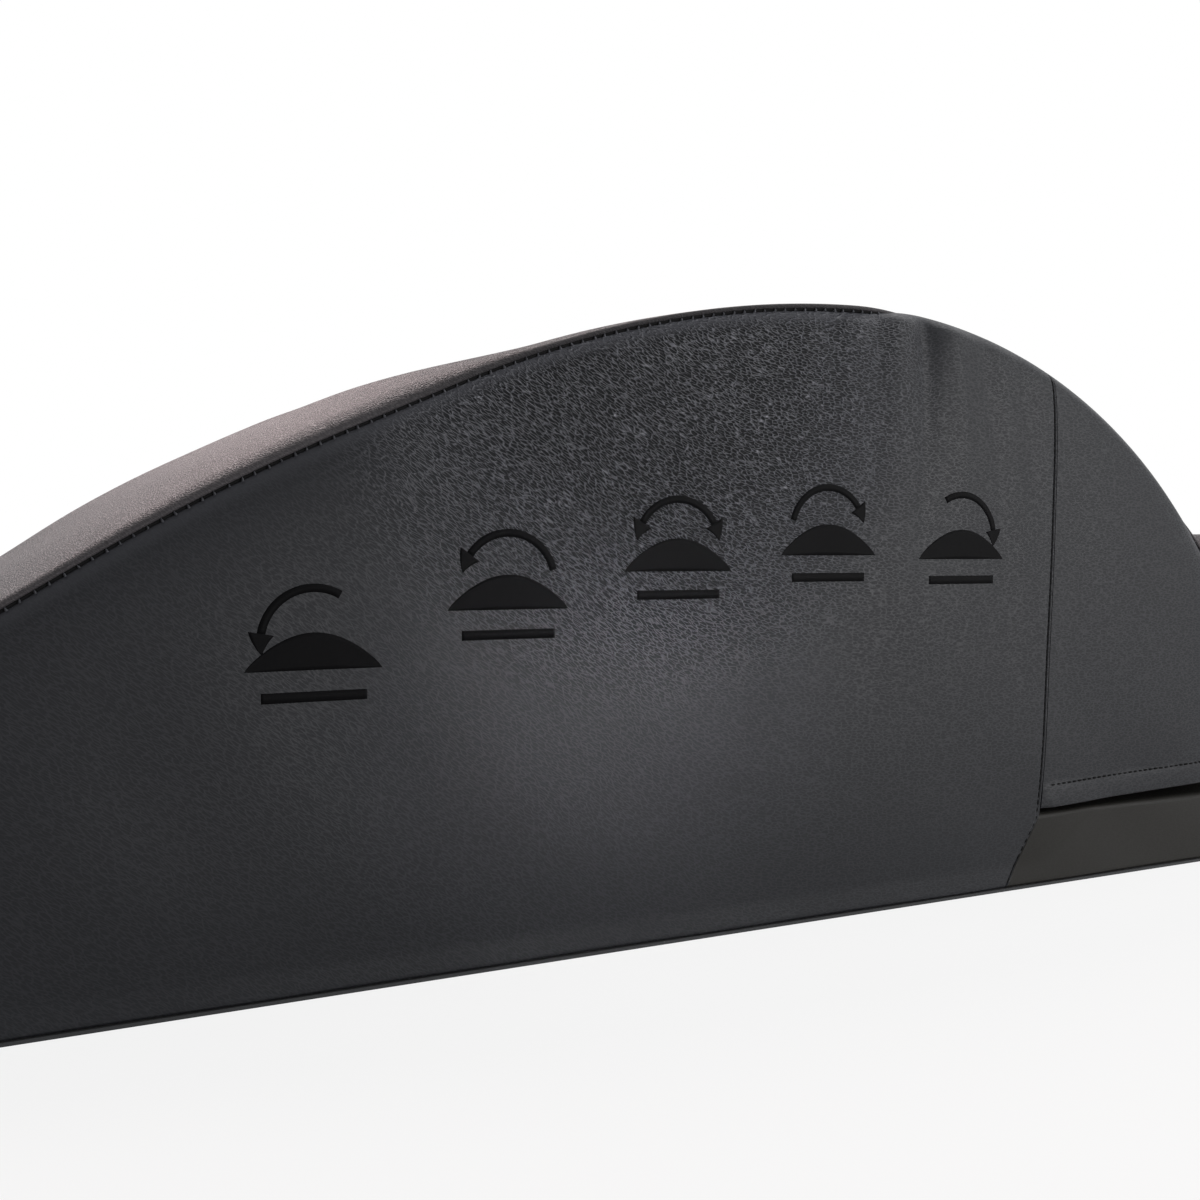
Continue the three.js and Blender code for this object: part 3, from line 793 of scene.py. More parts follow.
@dataclass(frozen=True)
class TopCovers:
    """The covers of the barrel and of the well and step, each with the soft pad sewn under it."""

    form: BodyForm
    edge: SewnEdge
    station: float = 0.0028
    bead_steps: int = 5
    shoulder_steps: int = 10
    top_steps: int = 20
    floor_roll: float = 0.002
    cross_roll: float = 0.0016
    allowance: float = 0.0045
    allowance_drop: float = 0.0025
    underside_shares: tuple[float, ...] = (1.0, 1.0, 0.66, 0.33)
    end_step: float = 0.25
    bead_turn_degrees: float = 80.0
    ripple: float = 0.00035
    ripple_length: float = 0.075
    ripple_across: float = 0.35
    ripple_seed: int = 5
    fill: float = 0.9

    def stations(self, start: float, end: float, marks: Sequence[float]) -> Array:
        """Arc lengths from start to end, closer at both ends, with marks among them."""
        inner = lerp(start, end, eased_shares(round((end - start) / self.station), self.end_step))
        return np.unique(np.concatenate([inner, marks]))

    def half_section(self, s: Array, cross_edge: float) -> tuple[Array, Array]:
        """Half of the section, from the middle of the top out to the groove and back under the pad.

        Args:
            s: Arc lengths of the stations.
            cross_edge: Arc length of the edge that is sewn across the well.

        Returns:
            Distance from the body's middle and height over the seam line, each (stations, points).
        """
        form, edge = self.form, self.edge
        s = s[:, None]
        width, drop = edge.shoulder(s)
        edge_y = form.half - edge.bead_inset - edge.inset(s)
        edge_z = edge.bead_height(s)
        turn = np.radians(np.linspace(0.0, 90.0, self.shoulder_steps + 1))[None, :]
        shares = np.linspace(0.0, 1.0, self.top_steps + 1)[None, :-1]
        turned_y = edge_y - width * (1.0 - np.sin(turn))
        top_y = np.concatenate([shares * (edge_y - width), turned_y], axis=1)
        rise = np.maximum(form.cover + form.top_swell(s) - edge_z - drop, 0.0)
        fall = np.concatenate([np.zeros((len(s), self.top_steps)), drop * (1.0 - np.cos(turn))],
                              axis=1)
        top_z = edge_z + drop + rise * (1.0 - (top_y / edge_y) ** form.top_crown_power) - fall
        angle = np.radians(np.linspace(0.0, self.bead_turn_degrees, self.bead_steps + 1))[None, 1:]
        round_y = edge_y - edge.bead_radius * (1.0 - np.cos(angle))
        round_z = edge_z - edge.bead_radius * np.sin(angle)
        sunk = rolled(s - form.cover_bottom, self.floor_roll) + rolled(
            form.seam.length - form.cover_bottom - s, self.floor_roll)
        sunk = sunk + rolled(np.abs(s - cross_edge), self.cross_roll)
        over_foam = (s > form.foam_bottom) & (s < form.seam.length - form.foam_bottom)
        depth = np.where(over_foam, form.pad, 0.0)
        groove_y = edge_y + edge.bead_inset - edge.groove_depth
        under_y = (groove_y - self.allowance) * np.array(self.underside_shares)
        low_y = np.concatenate([groove_y, under_y], axis=1)
        low_z = -np.concatenate([0.0 * s, np.where(over_foam, self.allowance_drop, 0.0)]
                                + [depth] * (len(self.underside_shares) - 1), axis=1)
        y = np.concatenate([top_y, round_y, low_y], axis=1)
        z = np.concatenate([top_z - sunk, round_z - np.minimum(sunk, round_z), low_z], axis=1)
        return y, z

    def build(self, name: str, start: float, end: float, cross_edge: float) -> Object:
        """Builds one cover with its pad as a closed solid of rings across the body.

        Args:
            name: Name of the piece.
            start: Arc length of its first edge.
            end: Arc length of its last edge.
            cross_edge: Which of the two is sewn across the well.

        Returns:
            The new piece.
        """
        form = self.form
        step = form.clearance / 2.0
        marks = [form.foam_bottom - step, form.foam_bottom + step]
        marks += [form.seam.length - mark for mark in marks]
        s = self.stations(start, end, [mark for mark in marks if start < mark < end])
        half_y, half_z = self.half_section(s, cross_edge)
        y = np.concatenate([half_y, -half_y[:, :0:-1]], axis=1)
        height = np.concatenate([half_z, half_z[:, :0:-1]], axis=1)
        away = np.broadcast_to(s[:, None], y.shape)
        from_groove = half_y.max(axis=1, keepdims=True) - np.abs(y)
        lifted = height > form.cover
        worn = self.ripple * waves(away, self.ripple_across * y, self.ripple_length,
                                   self.ripple_seed)
        edge_fade = smooth((form.half - np.abs(y)) / self.ripple_length)
        height = height + np.where(lifted, worn * edge_fade, 0.0)
        x, z = form.seam.beside(away, height)
        points = np.stack([x, y, z], axis=-1)
        return mesh_object(name, [ring_solid(points, np.stack([away, from_groove], axis=-1))])

    def pieces(self) -> list[Object]:
        """Builds both covers and hides the model's parts that they replace.

        Returns:
            The cover of the barrel and the cover of the well and step.
        """
        form = self.form
        gap = form.clearance / 2.0
        barrel = self.build("barrel_top", form.cover_bottom, form.well_s - gap, form.well_s - gap)
        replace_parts(barrel, "barrel_top_cover", "barrel_pad")
        last = form.seam.length - form.cover_bottom
        step = self.build("step_top", form.well_s + gap, last, form.well_s + gap)
        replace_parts(step, "step_top_cover", "step_pad")
        return [barrel, step]


def declare_cut(piece: Object, across: Array, along: Array) -> None:
    """Logs the flat cut of a piece of cloth that is cut to shape, stretched and stapled.

    Args:
        piece: The piece.
        across: Width of the flat cut at each place along it.
        along: Those places, from end to end.
    """
    area = float(0.5 * np.sum((across[1:] + across[:-1]) * np.diff(along)))
    width, length = float(across.max()), float(np.ptp(along))
    LOG.info("%s: cut %.3f m x %.3f m, %.4f square metres", piece.name, width, length, area)


@dataclass(frozen=True)
class Pucker:
    """A soft upright fold that a tight seam pulls into the side below it.

    Its height is below zero where it is a hollow, and lean is how far it moves left per metre down.
    """

    from_peak: float
    width: float
    height: float
    reach: float
    lean: float = 0.0


@dataclass(frozen=True)
class SidePanels:
    """The leatherette sides of the barrel and of the step, with folds below the peak."""

    form: BodyForm
    edge: SewnEdge
    station: float = 0.0024
    levels: int = 74
    back_levels: int = 9
    thickness: float = 0.0012
    upright_gap: float = 0.0002
    upright_radius: float = 0.0010
    lip_radius: float = 0.0012
    floor_radius: float = 0.0022
    hem_height: float = 0.0125
    hem_rise: float = 0.0006
    hem_flare: float = 0.0016
    hem_groove: float = 0.0005
    hem_groove_width: float = 0.0011
    sag: float = 0.0004
    sag_length: float = 0.085
    sag_seed: int = 11
    hem_flare_share: float = 1.4
    column_end_step: float = 0.08
    level_end_step: float = 0.05
    tuck: tuple[tuple[float, float], ...] = ((0.0008, 0.0003), (0.0016, 0.0013))
    back_top: float = 0.975
    back_roll: float = 0.5
    pucker_rise: float = 0.125
    puckers: tuple[Pucker, ...] = (
        Pucker(0.0140, 0.0068, 0.0028, 0.045, 0.10),
        Pucker(0.0315, 0.0060, -0.0038, 0.060, 0.05),
        Pucker(0.0480, 0.0085, 0.0026, 0.055, -0.06),
        Pucker(0.0680, 0.0070, -0.0014, 0.050, -0.12),
        Pucker(0.0010, 0.0052, -0.0012, 0.050, 0.12),
        Pucker(-0.0120, 0.0058, 0.0010, 0.045, 0.12),
        Pucker(-0.0260, 0.0062, -0.0010, 0.050, 0.14),
        Pucker(-0.0400, 0.0070, 0.0008, 0.050, 0.15),
        Pucker(0.0950, 0.0080, -0.0009, 0.055, -0.10),
    )

    def folds(self, x: Array, z: Array, drop: Array) -> Array:
        """Height of the folds: a bell across each pucker, which grows in and dies out downwards.

        Args:
            x: Places on the side.
            z: Heights on the side.
            drop: Distance below the top seam.

        Returns:
            Distance outwards.
        """
        total = self.sag * waves(x, z, self.sag_length, self.sag_seed)
        total = total * smooth(drop / self.sag_length)
        for fold in self.puckers:
            middle = self.form.peak_x + fold.from_peak - fold.lean * drop
            across = np.exp(-(((x - middle) / fold.width) ** 2))
            down = smooth(drop / (self.pucker_rise * fold.reach)) * np.exp(-drop / fold.reach)
            total = total + fold.height * across * down
        return total

    def surface(self, x: Array, z: Array) -> tuple[Array, Array, Array]:
        """Outer face of a side, before its lower and upright edges are rolled in.

        It is half the width + swell + folds - depth * exp(-drop / reach) - the roll into the seam.
        The soft fall of that depth and reach fades out over the board.

        Args:
            x: Places on the side.
            z: Heights on the side.

        Returns:
            Distance from the middle plane, arc length along the top seam and drop below its edge.
        """
        inside, s = self.form.seam.nearest(x, z)
        drop = np.maximum(inside + self.edge.panel_top(s), 0.0)
        out = self.form.half + self.form.side_swell(x, z) + self.folds(x, z, drop)
        soft = self.edge.soft_depth * np.exp(-drop / self.edge.soft_reach)
        soft = soft * smooth((z - self.form.cover_bottom) / self.edge.soft_rise)
        return out - soft - rolled(drop, self.edge.panel_radius(s)), s, drop

    def hem(self, rise: Array) -> Array:
        """Relief of the hem over the slot: a doubled, flared band that ends in a stitched groove.

        Args:
            rise: Distance above the slot's lip.

        Returns:
            Distance outwards at each.
        """
        past = (rise - self.hem_height) / self.hem_groove_width
        band = self.hem_rise * (1.0 - smooth(past + 0.5))
        groove = self.hem_groove * np.exp(-(past**2))
        flare = self.hem_flare * (1.0 - smooth(rise / (self.hem_flare_share * self.hem_height)))
        return band - groove + flare

    def columns(self, start: float, end: float) -> Array:
        """Arc lengths of a panel's columns, close together at both ends."""
        steps = round((end - start) / self.station)
        return lerp(start, end, eased_shares(steps, self.column_end_step))

    def build(self, name: str, side: Side, s: Array, bottom: Callable[[Array], Array],
              has_hem: bool) -> Object:
        """Builds one panel as a closed thin shell of rings: up the face, over it, down the back.

        Args:
            name: Name of the piece.
            side: Which side it lies on.
            s: Arc lengths of its columns along the top seam.
            bottom: Height of its lower edge at each x.
            has_hem: Whether its lower edge over the slot is a turned and stitched hem.

        Returns:
            The new piece.
        """
        form, edge = self.form, self.edge
        top_x, top_z = form.seam.beside(s, edge.panel_top(s))
        low = bottom(top_x)
        slant = np.cos(np.arctan(np.gradient(low, top_x)))[:, None]
        from_upright = np.abs(top_x - form.upright_top_x) / form.seam_blend
        pull = np.clip(1.0 - from_upright, 0.0, 1.0)[:, None]

        def place(shares: Array) -> tuple[Array, Array]:
            """Place and height of every column's points at shares of its height."""
            z = lerp(low[:, None], top_z[:, None], shares[None, :])
            return top_x[:, None] - pull * form.upright_lean(z), z

        x, z = place(eased_shares(self.levels, self.level_end_step))
        out, along, drop = self.surface(x, z)
        rise = (z - low[:, None]) * slant
        floor_edge = low[:, None] < form.foam_bottom
        out = out - rolled(rise, np.where(floor_edge, self.floor_radius, self.lip_radius))
        if has_hem:
            over_slot = smooth((x - form.slot_start) / form.seam_lean_above) * smooth(
                (form.slot_end - x) / form.seam_lean_above)
            out = out + self.hem(rise) * over_slot
        upright = np.abs(x - form.upright_x(z)) - self.upright_gap
        out = out - rolled(upright, self.upright_radius)
        out = np.where(z < form.foam_bottom, np.maximum(out, form.half - form.cover), out)
        face = np.stack([x, out, z], axis=-1)
        tuck = face[:, -1:, :] + np.array([[[0.0, -inwards, -down] for inwards, down in self.tuck]])
        back_x, back_z = place(np.linspace(self.back_top, 0.0, self.back_levels))
        back_out = self.surface(back_x, back_z)[0] - self.thickness
        back_rise = (back_z - low[:, None]) * slant
        back_out = back_out - self.back_roll * rolled(back_rise, self.lip_radius)
        back_out = np.minimum(back_out, form.half - form.cover + form.side_swell(back_x, back_z))
        back = np.stack([back_x, back_out, back_z], axis=-1)
        rings = np.concatenate([face, tuck, back], axis=1)
        rings[..., 1] *= side.value
        uv = np.zeros((*rings.shape[:2], 2))
        uv[:, : face.shape[1], 0] = along
        uv[:, : face.shape[1], 1] = drop
        uv[:, face.shape[1]:, 0] = s[:, None]
        piece = mesh_object(name, [ring_solid(rings, uv)])
        declare_cut(piece, top_z - low, top_x)
        return piece

    def leg_bottom(self, x: Array) -> Array:
        """Lower edge of the step's side: the slot's lip, then a slanting seam down to the floor.

        Args:
            x: Places along the body.

        Returns:
            Height of the edge at each.
        """
        form = self.form
        share = np.clip((x - form.slot_end - 2.0 * form.clearance) / form.seam_lean_below, 0.0, 1.0)
        return lerp(form.slot_ceiling(x), form.cover_bottom, share)

    def pieces(self) -> list[Object]:
        """Builds the four panels and hides the model's parts that they replace.

        Returns:
            The panels of the near side, then those of the far side.
        """
        form = self.form
        built = []
        for side in Side:
            barrel_s = self.columns(form.foot_face, form.upright_top_s - self.upright_gap)
            barrel = self.build(f"side_of_barrel_{side.label}", side, barrel_s,
                                lambda x: np.full(x.shape, form.cover_bottom), has_hem=False)
            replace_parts(barrel, f"barrel_side_{side.label}")
            step_s = self.columns(form.upright_top_s + self.upright_gap, form.last_face_s)
            step = self.build(f"side_of_step_{side.label}", side, step_s, self.leg_bottom,
                              has_hem=True)
            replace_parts(step, f"step_side_{side.label}")
            built += [barrel, step]
        return built


def softened(points: Array, radius: float, steps: int) -> Array:
    """A chain of points whose inner corners are rounded.

    Each corner P is cut a radius off, at A and B, and follows (1-t)^2 A + 2t(1-t) P + t^2 B.

    Args:
        points: Chains of points, shaped (chains, points, 2).
        radius: Distance of the round's ends from the corner.
        steps: Number of steps in each round.

    Returns:
        The rounded chains, shaped (chains, more points, 2).
    """
    t = np.linspace(0.0, 1.0, steps + 1)[None, :, None]
    parts = [points[:, :1]]
    for k in range(1, points.shape[1] - 1):
        corner = points[:, k: k + 1]
        before, after = points[:, k - 1: k] - corner, points[:, k + 1: k + 2] - corner
        start = corner + radius * before / np.linalg.norm(before, axis=-1, keepdims=True)
        end = corner + radius * after / np.linalg.norm(after, axis=-1, keepdims=True)
        parts.append((1.0 - t) ** 2 * start + 2.0 * t * (1.0 - t) * corner + t**2 * end)
    return np.concatenate([*parts, points[:, -1:]], axis=1)


@dataclass(frozen=True)
class RailCovers:
    """The leatherette round each grab rail: up the side, over a soft lip and across to the slot."""

    form: BodyForm
    station: float = 0.0024
    face_steps: int = 30
    corner_steps: int = 9
    top_steps: int = 10
    back_steps: int = 7
    end_step: float = 0.08
    face_end_step: float = 0.1
    lean_fade: int = 4
    end_gap: float = 0.0004
    leg_gap: float = 0.0002
    end_radius: float = 0.0011
    floor_radius: float = 0.0022
    lining: float = 0.001
    swell: float = 0.0006
    swell_length: float = 0.07
    swell_seed: int = 23

    def build(self, side: Side) -> Object:
        """Builds one rail's cover as a closed thin shell of rings across the rail.

        Args:
            side: Which side it lies on.

        Returns:
            The new piece.
        """
        form = self.form
        start, end = form.slot_start + self.end_gap, form.slot_end - self.end_gap
        x = lerp(start, end, eased_shares(round((end - start) / self.station), self.end_step))
        corner_z = form.lip_height - form.rail_edge
        angle = np.linspace(0.0, np.pi / 2.0, self.corner_steps)[1:]
        inner_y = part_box("grab_rail_far")[0].y - form.clearance - self.lining
        face_z = lerp(form.cover_bottom, corner_z,
                      eased_shares(self.face_steps, self.face_end_step))
        lip_y = form.half - form.rail_edge
        out = np.concatenate([np.full(len(face_z), form.half),
                              form.half - form.rail_edge * (1.0 - np.cos(angle)),
                              np.linspace(lip_y, inner_y, self.top_steps + 1)[1:]])
        z = np.concatenate([face_z, corner_z + form.rail_edge * np.sin(angle),
                            np.full(self.top_steps, form.lip_height)])
        near_start = np.clip(1.0 - (x - start) / form.seam_blend, 0.0, 1.0)[:, None]
        near_end = np.clip(1.0 - (end - x) / form.seam_blend, 0.0, 1.0)[:, None]

        def leaned(height: Array) -> Array:
            """Places of the columns, whose ends lean with the seams beside them.

            Args:
                height: Heights.

            Returns:
                Place along the body of each column at each height, shaped (columns, heights).
            """
            back = form.seam_lean_below * np.clip(1.0 - height / form.kink_height, 0.0, 1.0)
            ahead = form.leg_x(height) - self.leg_gap - end
            return x[:, None] - near_start * back[None, :] + near_end * ahead

        place_x = leaned(z)
        inwards = np.concatenate([np.zeros(len(z) - self.top_steps),
                                  np.linspace(0.0, 1.0, self.top_steps + 1)[1:]])
        place_x = lerp(x[:, None], place_x, (1.0 - inwards) ** self.lean_fade)
        place_z = np.broadcast_to(z[None, :], place_x.shape)
        to_end = np.minimum(x - start, end - x)[:, None]
        on_face = smooth((corner_z - place_z) / form.rail_edge + 1.0)
        worn = self.swell * waves(place_x, place_z, self.swell_length, self.swell_seed)
        worn = worn * smooth(to_end / self.swell_length)
        end_roll = rolled(to_end, self.end_radius)
        sunk = end_roll + rolled(place_z - form.cover_bottom, self.floor_radius)
        outer = out[None, :] + form.side_swell(place_x, place_z) + on_face * (worn - sunk)
        board = form.half - form.cover
        outer = np.where(place_z < form.foam_bottom, np.maximum(outer, board), outer)
        height = place_z - (1.0 - on_face) * end_roll
        face = np.stack([place_x, outer, height], axis=-1)
        back = np.linspace(corner_z, form.cover_bottom, self.back_steps)
        back_x = leaned(back)
        back_y = board + form.side_swell(back_x, back[None, :])
        under_y = np.array([inner_y, lip_y])
        under = np.stack([np.broadcast_to(x[:, None], (len(x), 2)),
                          np.broadcast_to(under_y, (len(x), 2)),
                          np.full((len(x), 2), form.lip_height - form.cover)], axis=-1)
        back_face = np.stack([back_x, back_y, np.broadcast_to(back, back_x.shape)], axis=-1)
        rings = np.concatenate([face, under, back_face], axis=1)
        rings[..., 1] *= side.value
        piece = mesh_object(f"cover_of_rail_{side.label}", [ring_solid(rings)])
        across = corner_z - form.cover_bottom + form.rail_edge * np.pi / 2.0 + lip_y - inner_y
        declare_cut(piece, np.full(x.shape, across), x)
        return piece

    def pieces(self) -> list[Object]:
        """Builds both rail covers and hides the model's parts that they replace."""
        return [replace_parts(self.build(side), f"rail_cover_{side.label}") for side in Side]


@dataclass(frozen=True)
class SlotLinings:
    """The cloth in each slot: along the roof, down the wall, over the board and up the rail."""

    form: BodyForm
    station: float = 0.004
    thickness: float = 0.001
    corner: float = 0.005
    corner_steps: int = 5
    sag: float = 0.0009
    sag_length: float = 0.055
    sag_seed: int = 31

    def build(self, side: Side) -> Object:
        """Builds one lining as a closed thin shell of rings across the slot.

        Args:
            side: Which side it lies on.

        Returns:
            The new piece.
        """
        form = self.form
        start, end = form.slot_start + form.clearance, form.slot_end - form.clearance
        x = lerp(start, end, np.linspace(0.0, 1.0, round((end - start) / self.station)))
        roof = form.slot_ceiling(x)
        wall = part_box("slot_lining_far")[0].y
        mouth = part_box("grab_rail_far")[1].y
        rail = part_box("grab_rail_far")[0].y - form.clearance
        rail_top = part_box("grab_rail_far")[1].z

        def chain(inset: float) -> Array:
            """Corners of the section, from the roof's mouth round to the rail's top.

            Args:
                inset: How far the corners are drawn in from the foam.

            Returns:
                The corners, shaped (columns, corners, 2).
            """
            high, low = roof + self.thickness - inset, np.full(x.shape, form.foam_bottom + inset)
            corners = [(mouth, high), (wall + inset, high), (wall + inset, low),
                       (rail - inset, low), (rail - inset, np.full(x.shape, rail_top))]
            return np.stack([np.stack([np.full(x.shape, y), z], axis=-1) for y, z in corners],
                            axis=1)

        outer = softened(chain(0.0), self.corner, self.corner_steps)
        inner = softened(chain(self.thickness), self.corner - self.thickness, self.corner_steps)
        away = np.broadcast_to(x[:, None], inner.shape[:2])
        round_section = inner[..., 0] + inner[..., 1]
        loose = self.sag * waves(away, round_section, self.sag_length, self.sag_seed) - self.sag
        loose = loose * smooth((mouth - inner[..., 0]) / self.sag_length) * smooth(
            (np.minimum(away - start, end - away)) / self.sag_length)
        over_gap = smooth((inner[..., 1] - rail_top) / self.corner)
        inner = inner + np.stack([np.zeros_like(loose), loose * over_gap], axis=-1)
        section = np.concatenate([outer, inner[:, ::-1]], axis=1)
        along = np.broadcast_to(x[:, None], section.shape[:2])
        rings = np.stack([along, side.value * section[..., 0], section[..., 1]], axis=-1)
        piece = mesh_object(f"lining_of_slot_{side.label}", [ring_solid(rings)])
        across = np.linalg.norm(np.diff(outer, axis=1), axis=2).sum(axis=1)
        declare_cut(piece, across, x)
        return piece

    def pieces(self) -> list[Object]:
        """Builds both linings and hides the model's parts that they replace."""
        return [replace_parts(self.build(side), f"slot_lining_{side.label}") for side in Side]


@dataclass(frozen=True)
class Stitching:
    """Thread in the seams, and small pinches of leatherette between the top seam's stitches."""

    form: BodyForm
    edge: SewnEdge
    panels: SidePanels
    tops: TopCovers
    pitch: float = 0.004
    top_pitch: float = 0.0058
    stitch: float = 0.0033
    thread_radius: float = 0.00055
    dip: float = 0.0003
    seam_depth: float = 0.0004
    # A black cord in each top seam's groove: thread and folded edges, and painted shade
    welt_radius: float = 0.0010
    welt_depth: float = 0.0021
    welt_step: float = 0.002
    welt_sides: int = 8
    pinch_height: float = 0.0019
    pinch_width: float = 0.0010
    pinch_depth: float = 0.0007
    pinch_taper: float = 0.55
    pinch_shift: float = 0.00025
    pinch_lean: float = 0.12
    pinch_inset: float = 0.0009
    pinch_drop: float = 0.0004
    pinch_sizes: tuple[float, float] = (0.8, 1.15)
    pinch_seed: int = 3
    hem_inset: float = 0.010

    def frames(self, centres: Array, inside: Array) -> tuple[Array, Array]:
        """Axes of stitches that follow a chain of points: along it, across it, and outwards.

        Args:
            centres: Middle of each stitch, shaped (stitches, 3).
            inside: Direction into the body at each stitch.

        Returns:
            The centres and the axes, shaped (stitches, 3, 3).
        """
        along = np.gradient(centres, axis=0)
        along /= np.linalg.norm(along, axis=1, keepdims=True)
        across = np.cross(along, inside)
        across /= np.linalg.norm(across, axis=1, keepdims=True)
        return centres, np.stack([along, across, np.cross(along, across)], axis=1)

    def threads(self, name: str, runs: Sequence[tuple[Array, Array]]) -> Object:
        """Makes the stitches of several seams one piece.

        Args:
            name: Name of the piece.
            runs: Centres of the stitches of each seam, and the direction into the body at each.

        Returns:
            The new piece.
        """
        shape, faces = capsule(self.stitch, self.thread_radius, self.dip)
        return mesh_object(name, [repeated(shape, faces, *self.frames(*run)) for run in runs])

    def top_seam(self, side: Side, step: float, depth: float) -> tuple[Array, Array]:
        """Places along the groove of the top seam.

        Args:
            side: Which side it lies on.
            step: Distance from one place to the next.
            depth: How deep they lie in the groove.

        Returns:
            Places, and the direction into the body at each.
        """
        form, edge = self.form, self.edge
        s = np.arange(form.cover_bottom + step, form.seam.length - form.cover_bottom - step, step)
        under_bead = edge.bead_height(s) - edge.bead_radius
        heading = form.seam.at(s)[2]
        share = edge.wrap(s)
        height = (edge.panel_top(s) + under_bead) / 2.0 - depth * share
        x, z = form.seam.beside(s, height)
        out = form.half - edge.inset(s) - depth * (1.0 - share)
        inside = [share * np.sin(heading), -side.value * (1.0 - share), -share * np.cos(heading)]
        return np.stack([x, side.value * out, z], axis=1), np.stack(inside, axis=1)

    def on_side(self, side: Side, x: Array, out: Array, z: Array) -> tuple[Array, Array]:
        """Places on a side, and the direction into the body at each."""
        places = np.stack([x, side.value * out, z], axis=1)
        return places, np.broadcast_to([0.0, -float(side.value), 0.0], places.shape)

    def welt(self, side: Side) -> Solid:
        """A black cord in a top seam's groove: its thread and folded edges, and painted shade.

        Args:
            side: Which side it lies on.

        Returns:
            The cord.
        """
        centres, axes = self.frames(*self.top_seam(side, self.welt_step, self.welt_depth))
        angle = np.linspace(0.0, 2.0 * np.pi, self.welt_sides, endpoint=False)
        ring = self.welt_radius * np.stack([0.0 * angle, np.cos(angle), np.sin(angle)], axis=1)
        return ring_solid(centres[:, None, :] + np.einsum("vk,nkc->nvc", ring, axes))

    def upright_seam(self, side: Side) -> tuple[Array, Array]:
        """Places along the upright seam between the barrel's side and the step's.

        Args:
            side: Which side it lies on.

        Returns:
            Middle of each stitch, and the direction into the body at each.
        """
        form = self.form
        low, high = form.cover_bottom + self.pitch, form.upright_top_z - self.pitch
        z = np.linspace(low, high, round((high - low) / self.pitch))
        x = form.upright_x(z)
        return self.on_side(side, x, self.panels.surface(x, z)[0] - self.seam_depth, z)

    def leg_seam(self, side: Side) -> tuple[Array, Array]:
        """Places along the slanting seam at the step end of the rail's cover.

        Args:
            side: Which side it lies on.

        Returns:
            Middle of each stitch, and the direction into the body at each.
        """
        form = self.form
        low, high = form.cover_bottom + self.pitch, form.kink_height
        z = np.linspace(low, high, round((high - low) / self.pitch))
        out = np.full(z.shape, form.half - self.seam_depth)
        return self.on_side(side, form.leg_x(z) - form.clearance, out, z)

    def hem_seam(self, side: Side) -> tuple[Array, Array]:
        """Places along the hem over the slot.

        Args:
            side: Which side it lies on.

        Returns:
            Middle of each stitch, and the direction into the body at each.
        """
        form, panels = self.form, self.panels
        start, end = form.slot_start + self.hem_inset, form.slot_end - self.hem_inset
        x = np.linspace(start, end, round((end - start) / self.pitch))
        lip = form.slot_ceiling(x)
        slant = np.cos(np.arctan(np.gradient(lip, x)))
        z = lip + panels.hem_height / slant
        out = panels.surface(x, z)[0] + panels.hem(np.full(x.shape, panels.hem_height))
        return self.on_side(side, x, out + self.thread_radius / 2.0, z)

    def cross_seam(self) -> tuple[Array, Array]:
        """Places along the seam across the bottom of the well.

        Returns:
            Middle of each stitch, and the direction into the body at each.
        """
        form, edge = self.form, self.edge
        s = np.array([form.well_s])
        reach = form.half - edge.groove_depth - self.tops.allowance
        y = np.arange(-reach, reach, self.pitch)
        low = edge.bead_height(s) + edge.bead_radius
        rise = np.maximum(form.cover + form.top_swell(s) - edge.bead_height(s)
                          - edge.bead_radius, 0.0)
        height = low + rise * (1.0 - np.abs(y / reach) ** form.top_crown_power)
        x, z = form.seam.beside(np.full(y.shape, form.well_s), height - self.seam_depth)
        return np.stack([x, y, z], axis=1), np.broadcast_to([0.0, 0.0, -1.0], (len(y), 3))

    def pinches(self) -> Object:
        """Makes the bumps of leatherette that rise between the stitches of both top seams.

        Returns:
            The new piece.
        """
        shape, faces = capsule(self.pinch_height, self.pinch_width / 2.0, taper=self.pinch_taper)
        scale = np.array([1.0, 1.0, 2.0 * self.pinch_depth / self.pinch_width])
        shape = shape[:, [1, 0, 2]] * scale
        random = np.random.default_rng(self.pinch_seed)
        solids = []
        for side in Side:
            centres, axes = self.frames(*self.top_seam(side, self.top_pitch, self.pinch_inset))
            axes[:, :2] *= np.sign(axes[:, 1, 2])[:, None, None]
            shift = random.normal(0.0, self.pinch_shift, (len(centres), 1))
            lean = random.normal(self.pinch_lean, self.pinch_lean, (len(centres), 1))
            axes[:, 1] += lean * axes[:, 0]
            axes *= random.uniform(*self.pinch_sizes, (len(centres), 1, 1))
            places = centres + shift * axes[:, 0] - self.pinch_drop * axes[:, 1]
            solids.append(repeated(shape, faces, places, axes))
        return mesh_object("seam_pinches", solids)

    def pieces(self) -> list[Object]:
        """Makes the top seams' black cords, thread and painted shade, and the other seams' thread.

        Returns:
            The cords, the thread of the sides and the thread across the well.
        """
        shade_cords = mesh_object("top_seam_welts", [self.welt(side) for side in Side])
        seams = (self.upright_seam, self.leg_seam, self.hem_seam)
        sides = self.threads("side_seam_thread", [seam(side) for side in Side for seam in seams])
        return [shade_cords, sides, self.threads("well_seam_thread", [self.cross_seam()])]


class Gesture(Enum):
    """Arrow over a mark: the degrees between which it bends, and whether both ends have a head."""

    ROLL_FORWARD = (165.0, 35.0, False)
    ROLL_BACK = (15.0, 145.0, False)
    ROCK = (150.0, 30.0, True)
    REACH_FORWARD = (120.0, 10.0, False)
    REACH_BACK = (60.0, 170.0, False)


